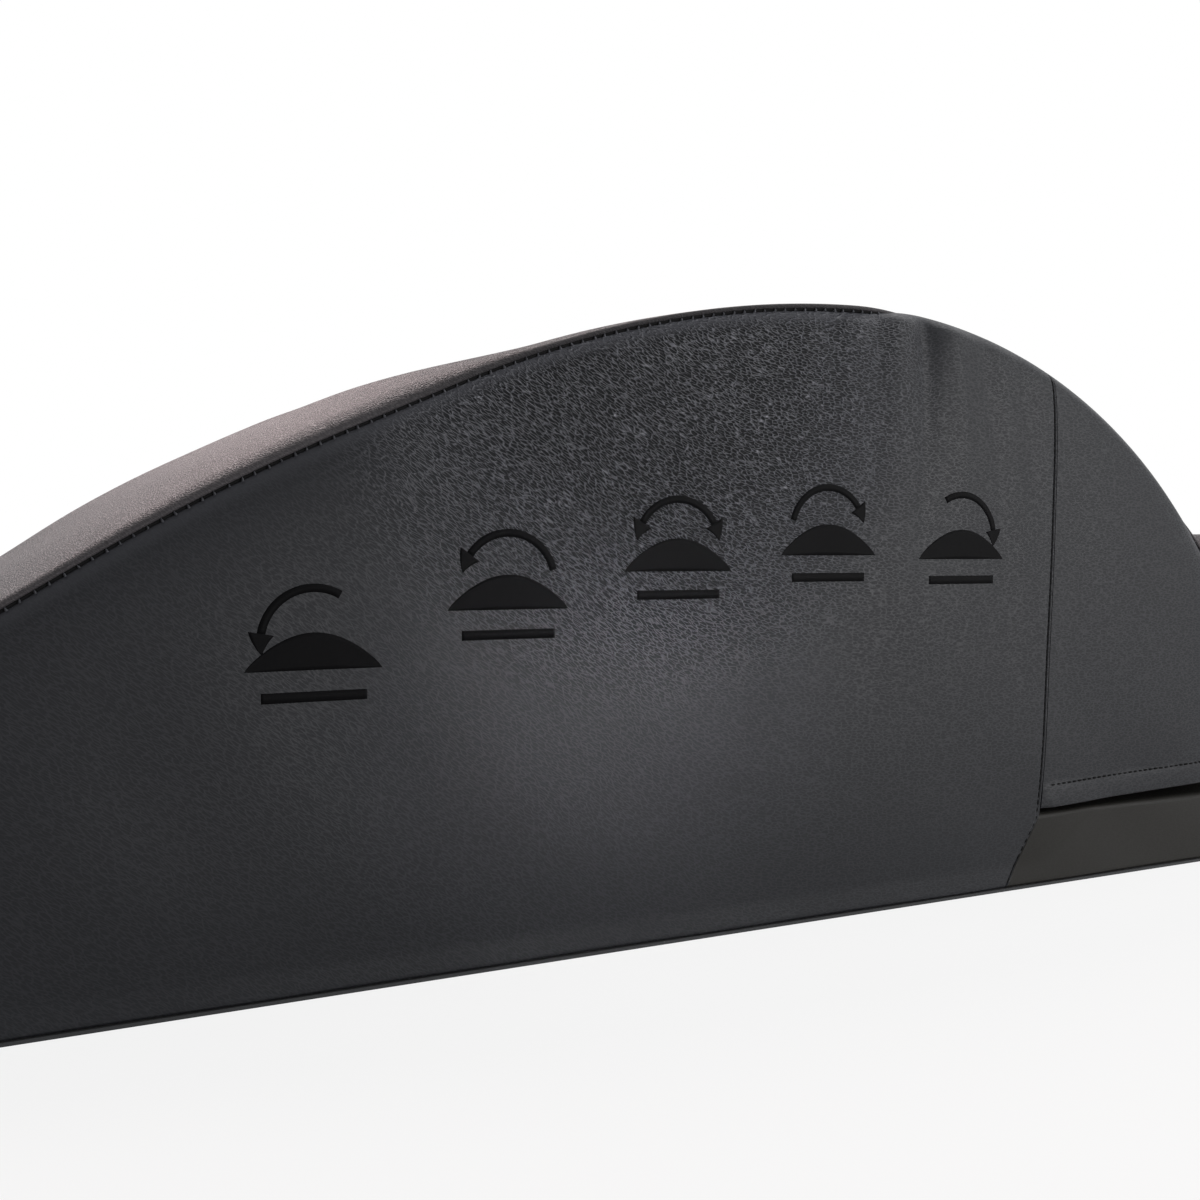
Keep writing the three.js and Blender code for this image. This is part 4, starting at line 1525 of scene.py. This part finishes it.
@dataclass(frozen=True)
class PrintedMarks:
    """Plain marks in a row on the near side: a low dome, a bent arrow over it and a bar below."""

    form: BodyForm
    panels: SidePanels
    gestures: tuple[Gesture, ...] = (Gesture.REACH_BACK, Gesture.ROLL_BACK, Gesture.ROCK,
                                     Gesture.ROLL_FORWARD, Gesture.REACH_FORWARD)
    first_from_peak: float = -0.285
    spacing: float = 0.084
    height_share: float = 0.60
    dome_width: float = 0.056
    dome_height: float = 0.015
    dome_power: float = 0.8
    arrow_centre: float = 0.75
    arrow_radius: float = 0.0215
    arrow_width: float = 0.0034
    head_length: float = 0.0085
    head_width: float = 0.0105
    head_steps: int = 7
    head_point: float = 0.02
    bar_drop: float = 0.0085
    bar_width: float = 0.0042
    bar_parts: float = 2.6
    ink: float = 0.00008
    ink_base: float = 0.25
    step: float = 0.0016

    def strip(self, lower: Array, upper: Array, middle: tuple[float, float]) -> Solid:
        """Ink between two curves, laid on the panel as a thin closed film.

        Args:
            lower: Points of one border, in the mark's own plane.
            upper: Points of the other border, as many.
            middle: Place and height of the mark's own origin on the panel.

        Returns:
            The film.
        """
        widest = float(np.linalg.norm(upper - lower, axis=1).max())
        shares = np.linspace(0.0, 1.0, max(2, round(widest / self.step)))[None, :, None]
        flat = lerp(lower[:, None, :], upper[:, None, :], shares)
        x, z = flat[..., 0] + middle[0], flat[..., 1] + middle[1]
        out = self.panels.surface(x, z)[0]
        front = np.stack([x, -(out + self.ink), z], axis=-1)
        back = np.stack([x, -(out + self.ink_base * self.ink), z], axis=-1)
        return ring_solid(np.concatenate([front, back[:, ::-1]], axis=1))

    def dome(self) -> tuple[Array, Array]:
        """Borders of the dome: a straight base under a half wave of cosine, to dome_power.

        Returns:
            The lower border and the upper.
        """
        u = np.linspace(-1.0, 1.0, round(self.dome_width / self.step))
        base = np.stack([u * self.dome_width / 2.0, 0.0 * u], axis=1)
        arch = self.dome_height * np.cos(u * np.pi / 2.0) ** self.dome_power
        return base, base + np.stack([0.0 * u, arch], axis=1)

    def bar(self) -> tuple[Array, Array]:
        """Borders of the bar below the dome, which reaches dome_width / bar_parts to each side.

        Returns:
            The lower border and the upper.
        """
        count = round(self.dome_width / self.step)
        u = np.linspace(-1.0, 1.0, count) * self.dome_width / self.bar_parts
        low = np.stack([u, np.full(u.shape, -self.bar_drop - self.bar_width)], axis=1)
        return low, low + np.array([0.0, self.bar_width])

    def arrow(self, gesture: Gesture) -> list[tuple[Array, Array]]:
        """Borders of the arrow's bent shaft and of its heads, which narrow to a point.

        Args:
            gesture: Which arrow it is.

        Returns:
            The inner border and the outer of the shaft and of each head.
        """
        start, end, has_two_heads = gesture.value
        turn = math.copysign(1.0, end - start)
        centre = np.array([0.0, self.dome_height * self.arrow_centre])

        def band(angles: Array, width: Array | float) -> tuple[Array, Array]:
            """Borders of a band along the arrow's circle.

            Args:
                angles: Angles of its points.
                width: Its width, or its width at each point.

            Returns:
                The inner border and the outer.
            """
            ray = np.stack([np.cos(angles), np.sin(angles)], axis=1)
            half = (np.broadcast_to(width, angles.shape) / 2.0)[:, None]
            inner, outer = self.arrow_radius - half, self.arrow_radius + half
            return centre + ray * inner, centre + ray * outer

        first, last = math.radians(start), math.radians(end)
        count = round(abs(last - first) * self.arrow_radius / self.step)
        bands = [band(np.linspace(first, last, count), self.arrow_width)]
        taper = self.head_width * np.linspace(1.0, self.head_point, self.head_steps)
        reach = np.linspace(0.0, self.head_length / self.arrow_radius, self.head_steps)
        bands.append(band(last + turn * reach, taper))
        if has_two_heads:
            bands.append(band(first - turn * reach, taper))
        return bands

    def pieces(self) -> list[Object]:
        """Prints the marks of the row.

        Returns:
            One piece of ink for each mark.
        """
        built = []
        for i, gesture in enumerate(self.gestures):
            x = self.form.peak_x + self.first_from_peak + i * self.spacing
            top = self.form.seam.at(self.form.seam.arc_at(np.array([x])))[1]
            z = float(top[0]) * self.height_share
            borders = [self.dome(), self.bar(), *self.arrow(gesture)]
            films = [self.strip(lower, upper, (x, z)) for lower, upper in borders]
            built.append(mesh_object(f"printed_mark_{i + 1}", films))
        return built


# Finishes


def linear(hex_colour: str) -> tuple[float, float, float, float]:
    """Turns an sRGB hex colour to the linear one that shaders take.

    Each channel c is ((c + 0.055) / 1.055)^2.4, or c / 12.92 in the darkest toe.

    Args:
        hex_colour: Six hex digits after a #.

    Returns:
        Linear red, green and blue, and full alpha.
    """
    parts = [int(hex_colour[i: i + 2], 16) / 255.0 for i in (1, 3, 5)]
    red, green, blue = (c / 12.92 if c <= 0.04045 else ((c + 0.055) / 1.055) ** 2.4 for c in parts)
    return red, green, blue, 1.0


def fill(tree: Tree, node: bpy.types.Node, sockets: dict[str | int, object]) -> None:
    """Sets or links inputs of a node.

    Args:
        tree: Node tree that it is in.
        node: The node.
        sockets: Value, or output to link, for each input by its name or number.
    """
    for key, value in sockets.items():
        if isinstance(value, Socket):
            tree.links.new(value, node.inputs[key])
        else:
            node.inputs[key].default_value = value


def add(tree: Tree, kind: str, sockets: dict[str | int, object] | None = None,
        **settings: object) -> bpy.types.Node:
    """Adds a node with its settings, values and links.

    Args:
        tree: Node tree that it goes in.
        kind: Type name of the node.
        sockets: Value, or output to link, for each input by its name or number.
        **settings: The node's own properties.

    Returns:
        The new node.
    """
    node = tree.nodes.new(kind)
    for name, value in settings.items():
        setattr(node, name, value)
    fill(tree, node, sockets or {})
    return node


def compute(tree: Tree, operation: str, *values: object, clamp: bool = False) -> Socket:
    """Adds a Math node.

    Args:
        tree: Node tree that it goes in.
        operation: What it works out.
        *values: Its values, or the outputs to link.
        clamp: Whether the result is held between 0 and 1.

    Returns:
        The result.
    """
    sockets = dict(enumerate(values))
    return add(tree, "ShaderNodeMath", sockets, operation=operation, use_clamp=clamp).outputs[0]


def remap(tree: Tree, value: Socket, source: tuple[float, float] = (0.0, 1.0),
          target: tuple[float, float] = (0.0, 1.0), shape: str = "LINEAR") -> Socket:
    """Adds a Map Range node, whose result stays between the ends of its target.

    Args:
        tree: Node tree that it goes in.
        value: Value to map.
        source: Values that become the target's two ends.
        target: The result at both.
        shape: How it runs between them.

    Returns:
        The result.
    """
    sockets = {"Value": value, "From Min": source[0], "From Max": source[1], "To Min": target[0],
               "To Max": target[1]}
    return add(tree, "ShaderNodeMapRange", sockets, interpolation_type=shape).outputs[0]


def blend(tree: Tree, share: Socket, low: object, high: object, kind: str = "RGBA") -> Socket:
    """Adds a Mix node between two colours or two numbers.

    Args:
        tree: Node tree that it goes in.
        share: Share of the second.
        low: The first, or the output to link.
        high: The second, or the output to link.
        kind: Type of both, a colour or a number.

    Returns:
        The mixture.
    """
    sockets = {"Factor": share, "A": low, "B": high}
    return add(tree, "ShaderNodeMix", sockets, data_type=kind).outputs["Result"]


def new_surface(name: str) -> tuple[Material, Tree, bpy.types.Node]:
    """Makes a material with only a Principled shader and its output.

    Args:
        name: Name of the material.

    Returns:
        The material, its node tree and its shader.
    """
    material = bpy.data.materials.new(name)
    material.use_nodes = True
    tree = material.node_tree
    tree.nodes.clear()
    shader = add(tree, "ShaderNodeBsdfPrincipled")
    add(tree, "ShaderNodeOutputMaterial", {"Surface": shader.outputs["BSDF"]})
    return material, tree, shader


@dataclass(frozen=True)
class Leatherette:
    """Polyurethane leatherette on a knit, embossed between rollers with a fine net of creases.

    The eye gets soft, broad highlights that break up on thin ridges round small drawn-out cells.
    The colour paints a highlight on the ridges and shade in the cells. In a patch round one place
    the relief, the painted highlight and shade and the shine of the grain are strongest, and they
    fall to a share of that outside it. Its rows turn with the pull. Along a seam the edge colour is
    painted light and shade: a highlight under the groove on the sides, shade into it on the top.
    """

    name: str
    colour: str
    # crown and valley paint a highlight on the grain's ridges and shade in its cells
    crown: str
    valley: str
    # edge paints light and shade along a seam, set for each finish
    edge: str
    edge_width: float
    edge_roughness: float
    edge_share: float = 0.35
    edge_grain: float = 0.4
    roughness: float = 0.38
    valley_roughness: float = 0.56
    specular: float = 0.20
    valley_specular: float = 0.07
    crown_specular: float = 0.40
    ior: float = 1.5
    pebble: float = 0.0013  # Drawn coarser than the real 0.6 mm, which is too fine to show
    stretch: float = 2.6
    line_share: float = 0.22
    patch: float = 0.0009
    raised_from: float = 0.15
    raised_to: float = 0.55
    drift: float = 0.003
    drift_length: float = 0.035
    relief: float = 0.0020
    # Centre, reach and core of the patch where the grain's relief and painted highlight are
    # strongest
    slack_place: tuple[float, float, float] = (-0.103, 0.0, 0.278)
    slack_reach: float = 0.178
    slack_core: float = 0.3
    # Share of that relief and painted highlight outside the patch
    tight_share: float = 0.06
    steep_fall: float = 0.66
    level_fall: float = 0.02
    turn_x: float = -0.070
    turn_width: float = 0.060

    def rows(self, tree: Tree, place: Socket) -> Socket:
        """Adds coordinates whose level lines are the rows of the grain.

        A row falls by steep_fall on the left and level_fall on the right. Its height is z + T(x),
        where T = mean * x - half * sqrt((x - turn_x)^2 + turn_width^2), and mean and half are half
        the sum and half the difference of both falls.

        Args:
            tree: Node tree of the material.
            place: Place on the object.

        Returns:
            Coordinates along the rows and across them.
        """
        mean = (self.steep_fall + self.level_fall) / 2.0
        half = (self.steep_fall - self.level_fall) / 2.0
        x, y, z = add(tree, "ShaderNodeSeparateXYZ", {0: place}).outputs
        past = compute(tree, "SUBTRACT", x, self.turn_x)
        root = compute(tree, "SQRT", compute(tree, "MULTIPLY_ADD", past, past, self.turn_width**2))
        straight = compute(tree, "MULTIPLY_ADD", x, mean, z)
        across = compute(tree, "MULTIPLY_ADD", root, -half, straight)
        along = compute(tree, "DIVIDE", x, self.stretch)
        return add(tree, "ShaderNodeCombineXYZ", {"X": along, "Y": y, "Z": across}).outputs[0]

    def material(self) -> Material:
        """Builds the material.

        Returns:
            The new material.
        """
        material, tree, shader = new_surface(self.name)
        place = add(tree, "ShaderNodeTexCoord").outputs["Object"]
        flow = add(tree, "ShaderNodeTexNoise", {"Vector": place, "Scale": 1.0 / self.drift_length,
                                                "Detail": 1.0})
        shift = add(tree, "ShaderNodeVectorMath", {0: flow.outputs["Color"], 1: (0.5, 0.5, 0.5)},
                    operation="SUBTRACT")
        sockets = {0: shift.outputs[0], 1: (self.drift,) * 3, 2: place}
        moved = add(tree, "ShaderNodeVectorMath", sockets, operation="MULTIPLY_ADD")
        rows = self.rows(tree, moved.outputs[0])
        cells = add(tree, "ShaderNodeTexVoronoi", {"Vector": rows, "Scale": 1.0 / self.pebble},
                    feature="DISTANCE_TO_EDGE")
        lines = remap(tree, cells.outputs["Distance"], (self.line_share, 0.0), shape="SMOOTHSTEP")
        patches = add(tree, "ShaderNodeTexNoise", {"Vector": rows, "Scale": 1.0 / self.patch,
                                                   "Detail": 0.0})
        raised = remap(tree, patches.outputs["Fac"], (self.raised_from, self.raised_to))
        height = compute(tree, "MULTIPLY", lines, raised)
        flat_place = add(tree, "ShaderNodeVectorMath", {0: place, 1: (1.0, 0.0, 1.0)},
                         operation="MULTIPLY")
        away = add(tree, "ShaderNodeVectorMath", {0: flat_place.outputs[0], 1: self.slack_place},
                   operation="DISTANCE")
        # Patch of raised relief and painted highlight round one place
        raised_and_lit = remap(tree, away.outputs["Value"],
                      (self.slack_reach * self.slack_core, self.slack_reach),
                      (1.0, self.tight_share), "SMOOTHSTEP")
        seam_map = add(tree, "ShaderNodeUVMap", uv_map=SEAM_MAP)
        from_seam = add(tree, "ShaderNodeSeparateXYZ", {0: seam_map.outputs["UV"]}).outputs["Y"]
        inside = remap(tree, from_seam, (0.0, self.edge_width), shape="SMOOTHSTEP")
        # Strength of the light and shade painted along the seam, greatest in the lit patch
        seam_paint_strength = remap(tree, raised_and_lit, target=(self.edge_share, 1.0))
        near_seam = compute(tree, "MULTIPLY", compute(tree, "SUBTRACT", 1.0, inside), seam_paint_strength)
        held = remap(tree, inside, target=(self.edge_grain, 1.0))
        loose = compute(tree, "MULTIPLY", raised_and_lit, held)
        bump = add(tree, "ShaderNodeBump", {"Height": height, "Distance": self.relief,
                                            "Strength": loose})
        # Painted highlight on the grain's ridges and painted shade in its cells
        grain = blend(tree, height, linear(self.valley), linear(self.crown))
        face = blend(tree, loose, linear(self.colour), grain)
        worn = remap(tree, height, target=(self.valley_roughness, self.roughness))
        shine = remap(tree, height, target=(self.valley_specular, self.crown_specular))
        # Base colour carries the grain's painted light and shade and the edge colour painted along
        # the seam
        fill(tree, shader, {"Base Color": blend(tree, near_seam, face, linear(self.edge)),
                            "Roughness": blend(tree, near_seam, worn, self.edge_roughness, "FLOAT"),
                            "Specular IOR Level": blend(tree, loose, self.specular, shine, "FLOAT"),
                            "IOR": self.ior, "Normal": bump.outputs[0]})
        return material


@dataclass(frozen=True)
class LiningCloth:
    """Plain black woven lining: two crossed sets of fine threads over a matte, dark cloth."""

    name: str = "lining_cloth"
    colour: str = "#1b1b1d"
    gap: str = "#0b0b0c"
    roughness: float = 0.9
    specular: float = 0.2
    thread: float = 0.0006
    waviness: float = 0.4
    relief: float = 0.0001

    def material(self) -> Material:
        """Builds the material.

        Returns:
            The new material.
        """
        material, tree, shader = new_surface(self.name)
        place = add(tree, "ShaderNodeTexCoord").outputs["Object"]
        scale = math.tau / (WAVE_PHASE * self.thread)
        sockets = {"Vector": place, "Scale": scale, "Distortion": self.waviness}
        threads = [add(tree, "ShaderNodeTexWave", sockets, bands_direction=axis).outputs["Fac"]
                   for axis in ("X", "DIAGONAL")]
        weave = compute(tree, "MULTIPLY", *threads)
        bump = add(tree, "ShaderNodeBump", {"Height": weave, "Distance": self.relief})
        fill(tree, shader, {"Base Color": blend(tree, weave, linear(self.gap), linear(self.colour)),
                            "Roughness": self.roughness, "Specular IOR Level": self.specular,
                            "Normal": bump.outputs[0]})
        return material


@dataclass(frozen=True)
class Speckled:
    """A colour broken up by two sizes of soft specks, for ink, thread, foam or plated steel."""

    name: str
    colour: str
    speck: str
    roughness: float
    specular: float = 0.5
    metallic: float = 0.0
    fine: float = 0.002
    coarse: float = 0.03
    relief: float = 0.0
    speck_from: float = 0.15
    speck_to: float = 0.35

    def material(self) -> Material:
        """Builds the material.

        Returns:
            The new material.
        """
        material, tree, shader = new_surface(self.name)
        place = add(tree, "ShaderNodeTexCoord").outputs["Object"]
        small, large = (add(tree, "ShaderNodeTexNoise",
                            {"Vector": place, "Scale": 1.0 / size, "Detail": 2.0})
                        for size in (self.fine, self.coarse))
        both = compute(tree, "MULTIPLY", small.outputs["Fac"], large.outputs["Fac"])
        share = remap(tree, both, (self.speck_from, self.speck_to))
        colour = blend(tree, share, linear(self.speck), linear(self.colour))
        fill(tree, shader, {"Base Color": colour, "Roughness": self.roughness,
                            "Specular IOR Level": self.specular, "Metallic": self.metallic})
        if self.relief > 0.0:
            bump = add(tree, "ShaderNodeBump", {"Height": small.outputs["Fac"],
                                                "Distance": self.relief})
            fill(tree, shader, {"Normal": bump.outputs[0]})
        return material


@dataclass(frozen=True)
class Plywood:
    """Birch plywood: light and dark veneers along its edges, and long figure along its faces."""

    name: str = "birch_plywood"
    colour: str = "#d8b98a"
    figure: str = "#c39f6c"
    end_grain: str = "#a27c4e"
    veneer: float = 0.0014
    figure_length: float = 0.30
    figure_width: float = 0.012
    figure_bend: float = 1.2
    roughness: float = 0.62

    def material(self) -> Material:
        """Builds the material.

        Returns:
            The new material.
        """
        material, tree, shader = new_surface(self.name)
        coordinates = add(tree, "ShaderNodeTexCoord")
        place = coordinates.outputs["Object"]
        across = 1.0 / self.figure_width
        stretched = add(tree, "ShaderNodeMapping", {
            "Vector": place, "Scale": (1.0 / self.figure_length, across, across)})
        grain = add(tree, "ShaderNodeTexNoise", {"Vector": stretched.outputs[0], "Scale": 1.0,
                                                 "Detail": 4.0, "Distortion": self.figure_bend})
        face = blend(tree, grain.outputs["Fac"], linear(self.colour), linear(self.figure))
        scale = math.tau / (WAVE_PHASE * 2.0 * self.veneer)
        plies = add(tree, "ShaderNodeTexWave", {"Vector": place, "Scale": scale},
                    bands_direction="Z")
        normal = add(tree, "ShaderNodeSeparateXYZ", {0: coordinates.outputs["Normal"]})
        upright = compute(tree, "ABSOLUTE", normal.outputs["Z"])
        on_edge = compute(tree, "SUBTRACT", plies.outputs["Fac"], upright, clamp=True)
        fill(tree, shader, {"Base Color": blend(tree, on_edge, face, linear(self.end_grain)),
                            "Roughness": self.roughness})
        return material


@dataclass(frozen=True)
class DottedSheet:
    """Non-slip sheet: dark knit with raised rubber dots in staggered rows."""

    name: str = "dotted_sheet"
    colour: str = "#1f2022"
    dot: str = "#2c2d30"
    pitch: float = 0.006
    dot_share: float = 0.32
    dot_rim: float = 0.8
    roughness: float = 0.8
    relief: float = 0.0004

    def material(self) -> Material:
        """Builds the material.

        Returns:
            The new material.
        """
        material, tree, shader = new_surface(self.name)
        place = add(tree, "ShaderNodeTexCoord").outputs["Object"]
        cells = add(tree, "ShaderNodeTexVoronoi", {"Vector": place, "Scale": 1.0 / self.pitch,
                                                   "Randomness": 0.0}, voronoi_dimensions="2D")
        dots = remap(tree, cells.outputs["Distance"],
                     (self.dot_share, self.dot_share * self.dot_rim))
        bump = add(tree, "ShaderNodeBump", {"Height": dots, "Distance": self.relief})
        fill(tree, shader, {"Base Color": blend(tree, dots, linear(self.colour), linear(self.dot)),
                            "Roughness": self.roughness, "Normal": bump.outputs[0]})
        return material


def dress(pieces: Sequence[Object], material: Material) -> None:
    """Gives pieces their finish and lets them ride on the body.

    Args:
        pieces: Objects to finish.
        material: Their material.
    """
    for piece in pieces:
        piece.data.materials.clear()
        piece.data.materials.append(material)
        if "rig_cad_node" not in piece:
            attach(piece, BODY)


@dataclass(frozen=True)
class InnerParts:
    """The board, foam blocks, rails and screws inside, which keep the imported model's solids."""

    board: Plywood = Plywood()
    sheet: DottedSheet = DottedSheet()
    foam: Speckled = Speckled("block_foam", "#b9bec4", "#a3a8af", roughness=0.95, specular=0.2,
                              fine=0.0025, relief=0.0004)
    steel: Speckled = Speckled("zinc_steel", "#c9c6b4", "#b4b09b", roughness=0.32, metallic=1.0,
                               fine=0.004)

    def finish(self, nodes: dict[str, Object]) -> None:
        """Gives each solid its finish.

        Args:
            nodes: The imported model's nodes by name.
        """
        rails = [nodes[f"grab_rail_{side.label}"] for side in Side]
        screws = [node for name, node in nodes.items() if name.startswith("rail_screw")]
        dress([nodes["base_board"], *rails], self.board.material())
        dress([nodes["bottom_sheet"]], self.sheet.material())
        blocks = [nodes[name] for name in ("barrel_core", "step_core", "step_plinth")]
        dress(blocks, self.foam.material())
        dress(screws, self.steel.material())


# Light, floor and camera


@dataclass(frozen=True)
class SoftLamp:
    """A square area lamp that faces a point of the object."""

    name: str
    place: tuple[float, float, float]
    size: float
    watts: float
    colour: str = "#ffffff"
    aim: tuple[float, float, float] = (0.0, 0.0, 0.12)
    spread_degrees: float = 180.0

    def build(self) -> Object:
        """Makes the lamp.

        Returns:
            The lamp's object.
        """
        data = bpy.data.lights.new(self.name, "AREA")
        data.shape, data.size, data.energy = "SQUARE", self.size, self.watts
        data.color = linear(self.colour)[:3]
        data.spread = math.radians(self.spread_degrees)
        lamp = bpy.data.objects.new(self.name, data)
        bpy.context.scene.collection.objects.link(lamp)
        lamp.location = self.place
        towards = Vector(self.aim) - Vector(self.place)
        lamp.rotation_euler = towards.to_track_quat("-Z", "Y").to_euler()
        return lamp


@dataclass(frozen=True)
class Studio:
    """White backdrop, pale floor, soft lamps, and the camera at the photograph's place."""

    form: BodyForm
    lens: float = 39.86
    sensor: float = 36.0
    from_peak: tuple[float, float, float] = (-0.4250, -0.5264, 0.1809)
    heading_degrees: float = 62.83
    pitch_degrees: float = -2.06
    ambient: float = 0.045
    glow: float = 0.84
    floor_size: float = 12.0
    floor_colour: str = "#f4f4f4"
    floor_roughness: float = 0.9
    floor_specular: float = 0.1
    clip_start: float = 0.01
    lamps: tuple[SoftLamp, ...] = (
        SoftLamp("lamp_above", (1.2, -0.5, 2.2), 1.5, 18.0),
        SoftLamp("lamp_front", (0.9, -1.0, 0.7), 0.5, 3.9),
        SoftLamp("lamp_low", (0.45, -1.5, 0.12), 0.4, 7.8),
        SoftLamp("lamp_low_right", (1.1, -1.6, 0.2), 0.6, 9.8),
        SoftLamp("lamp_pool", (0.1, -1.25, 0.35), 0.08, 0.055, "#fffaff",
                 aim=(-0.1225, -0.195, 0.112), spread_degrees=12.0),
        SoftLamp("lamp_behind", (-0.15, 2.0, 1.5), 1.2, 9.0, "#ffdcdc"),
        SoftLamp("lamp_back_above", (0.0, 1.2, 2.2), 1.5, 34.0, "#ffeeec"),
    )

    def seen_share(self, tree: Tree) -> Socket:
        """Adds the share of rays that see a backdrop: from the camera, mirrored or let through.

        Args:
            tree: Node tree that it goes in.

        Returns:
            The share.
        """
        path = add(tree, "ShaderNodeLightPath")
        kinds = ("Camera", "Glossy", "Transmission")
        camera, glossy, through = (path.outputs[f"Is {kind} Ray"] for kind in kinds)
        seen = compute(tree, "ADD", camera, glossy, clamp=True)
        return compute(tree, "ADD", seen, through, clamp=True)

    def backdrop(self) -> None:
        """Makes the world white where it is seen and softer where it lights the object."""
        world = bpy.data.worlds.new("backdrop")
        world.use_nodes = True
        tree = world.node_tree
        tree.nodes.clear()
        level = remap(tree, self.seen_share(tree), target=(self.ambient, 1.0))
        light = add(tree, "ShaderNodeBackground", {"Color": WHITE, "Strength": level})
        add(tree, "ShaderNodeOutputWorld", {"Surface": light.outputs[0]})
        bpy.context.scene.world = world

    def floor(self) -> Object:
        """Makes the pale floor, which takes the object's shadow.

        Returns:
            The floor's object.
        """
        half = self.floor_size / 2.0
        mesh = bpy.data.meshes.new("floor")
        corners = [(-half, -half, 0.0), (half, -half, 0.0), (half, half, 0.0), (-half, half, 0.0)]
        mesh.from_pydata(corners, [], [(0, 1, 2, 3)])
        plane = bpy.data.objects.new("floor", mesh)
        bpy.context.scene.collection.objects.link(plane)
        material, tree, shader = new_surface("pale_floor")
        fill(tree, shader, {"Base Color": linear(self.floor_colour),
                            "Roughness": self.floor_roughness,
                            "Specular IOR Level": self.floor_specular})
        white = add(tree, "ShaderNodeEmission", {"Color": WHITE})
        share = compute(tree, "MULTIPLY", self.seen_share(tree), self.glow)
        both = add(tree, "ShaderNodeMixShader", {0: share, 1: shader.outputs[0],
                                                 2: white.outputs[0]})
        output = next(node for node in tree.nodes if node.type == "OUTPUT_MATERIAL")
        tree.links.new(both.outputs[0], output.inputs["Surface"])
        mesh.materials.append(material)
        plane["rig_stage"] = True
        return plane

    def camera(self) -> Object:
        """Places the camera.

        Returns:
            The camera's object.
        """
        data = bpy.data.cameras.new("camera")
        data.lens, data.sensor_width, data.clip_start = self.lens, self.sensor, self.clip_start
        camera = bpy.data.objects.new("camera", data)
        bpy.context.scene.collection.objects.link(camera)
        right, back, up = self.from_peak
        place = Vector((self.form.peak_x + right, -self.form.half + back, up))
        heading, pitch = math.radians(self.heading_degrees), math.radians(self.pitch_degrees)
        level = math.cos(pitch)
        aim = Vector((math.cos(heading) * level, math.sin(heading) * level, math.sin(pitch)))
        turn = aim.to_track_quat("-Z", "Y").to_matrix().to_4x4()
        camera.matrix_world = Matrix.Translation(place) @ turn
        bpy.context.scene.camera = camera
        return camera

    def build(self) -> None:
        """Sets up the stage."""
        bpy.context.scene.view_settings.view_transform = "Standard"
        self.backdrop()
        self.floor()
        for lamp in self.lamps:
            lamp.build()
        self.camera()


def main() -> None:
    """Builds the finished object, the stage and the camera."""
    logging.basicConfig(level=logging.INFO, format="%(name)s: %(message)s")
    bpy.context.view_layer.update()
    form = BodyForm()
    edge = SewnEdge(form)
    tops, panels = TopCovers(form, edge), SidePanels(form, edge)
    rails, linings = RailCovers(form), SlotLinings(form)
    stitching = Stitching(form, edge, panels, tops)
    marks = PrintedMarks(form, panels)
    # Sides: the crown paints a highlight on the grain's ridges, the edge a highlight under the top
    # seam
    side_finish = Leatherette("side_leatherette", colour="#1d1e21", crown="#5c5d64",
                              valley="#141517", edge="#4a4b50", edge_width=0.0085,
                              edge_roughness=0.40, specular=0.16)
    # Top: the edge paints shade where the cover turns into the groove
    top_finish = Leatherette("top_leatherette", colour="#373336", crown="#504c50",
                             valley="#292729", edge="#222022", edge_width=0.0030,
                             edge_roughness=0.80, specular=0.42, tight_share=0.45)
    rail_finish = Leatherette("rail_leatherette", colour="#21201e", crown="#363532",
                              valley="#181716", edge="#21201e", edge_width=0.001,
                              edge_roughness=0.45, specular=0.12)
    leatherette = side_finish.material()
    thread = Speckled("black_thread", "#0d0d0e", "#060606", roughness=0.8, specular=0.1,
                      fine=0.0006)
    ink = Speckled("printing_ink", "#040405", "#020203", roughness=0.60, specular=0.05)

    dress(tops.pieces(), top_finish.material())
    dress(panels.pieces(), leatherette)
    dress(rails.pieces(), rail_finish.material())
    dress([stitching.pinches()], leatherette)
    dress(linings.pieces(), LiningCloth().material())
    dress(stitching.pieces(), thread.material())
    dress(marks.pieces(), ink.material())
    InnerParts().finish(frame["nodes"])
    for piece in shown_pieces():
        LOG.info("%s: %d faces", piece.name, len(piece.data.polygons))
    Studio(form).build()


if __name__ == "__main__":
    main()
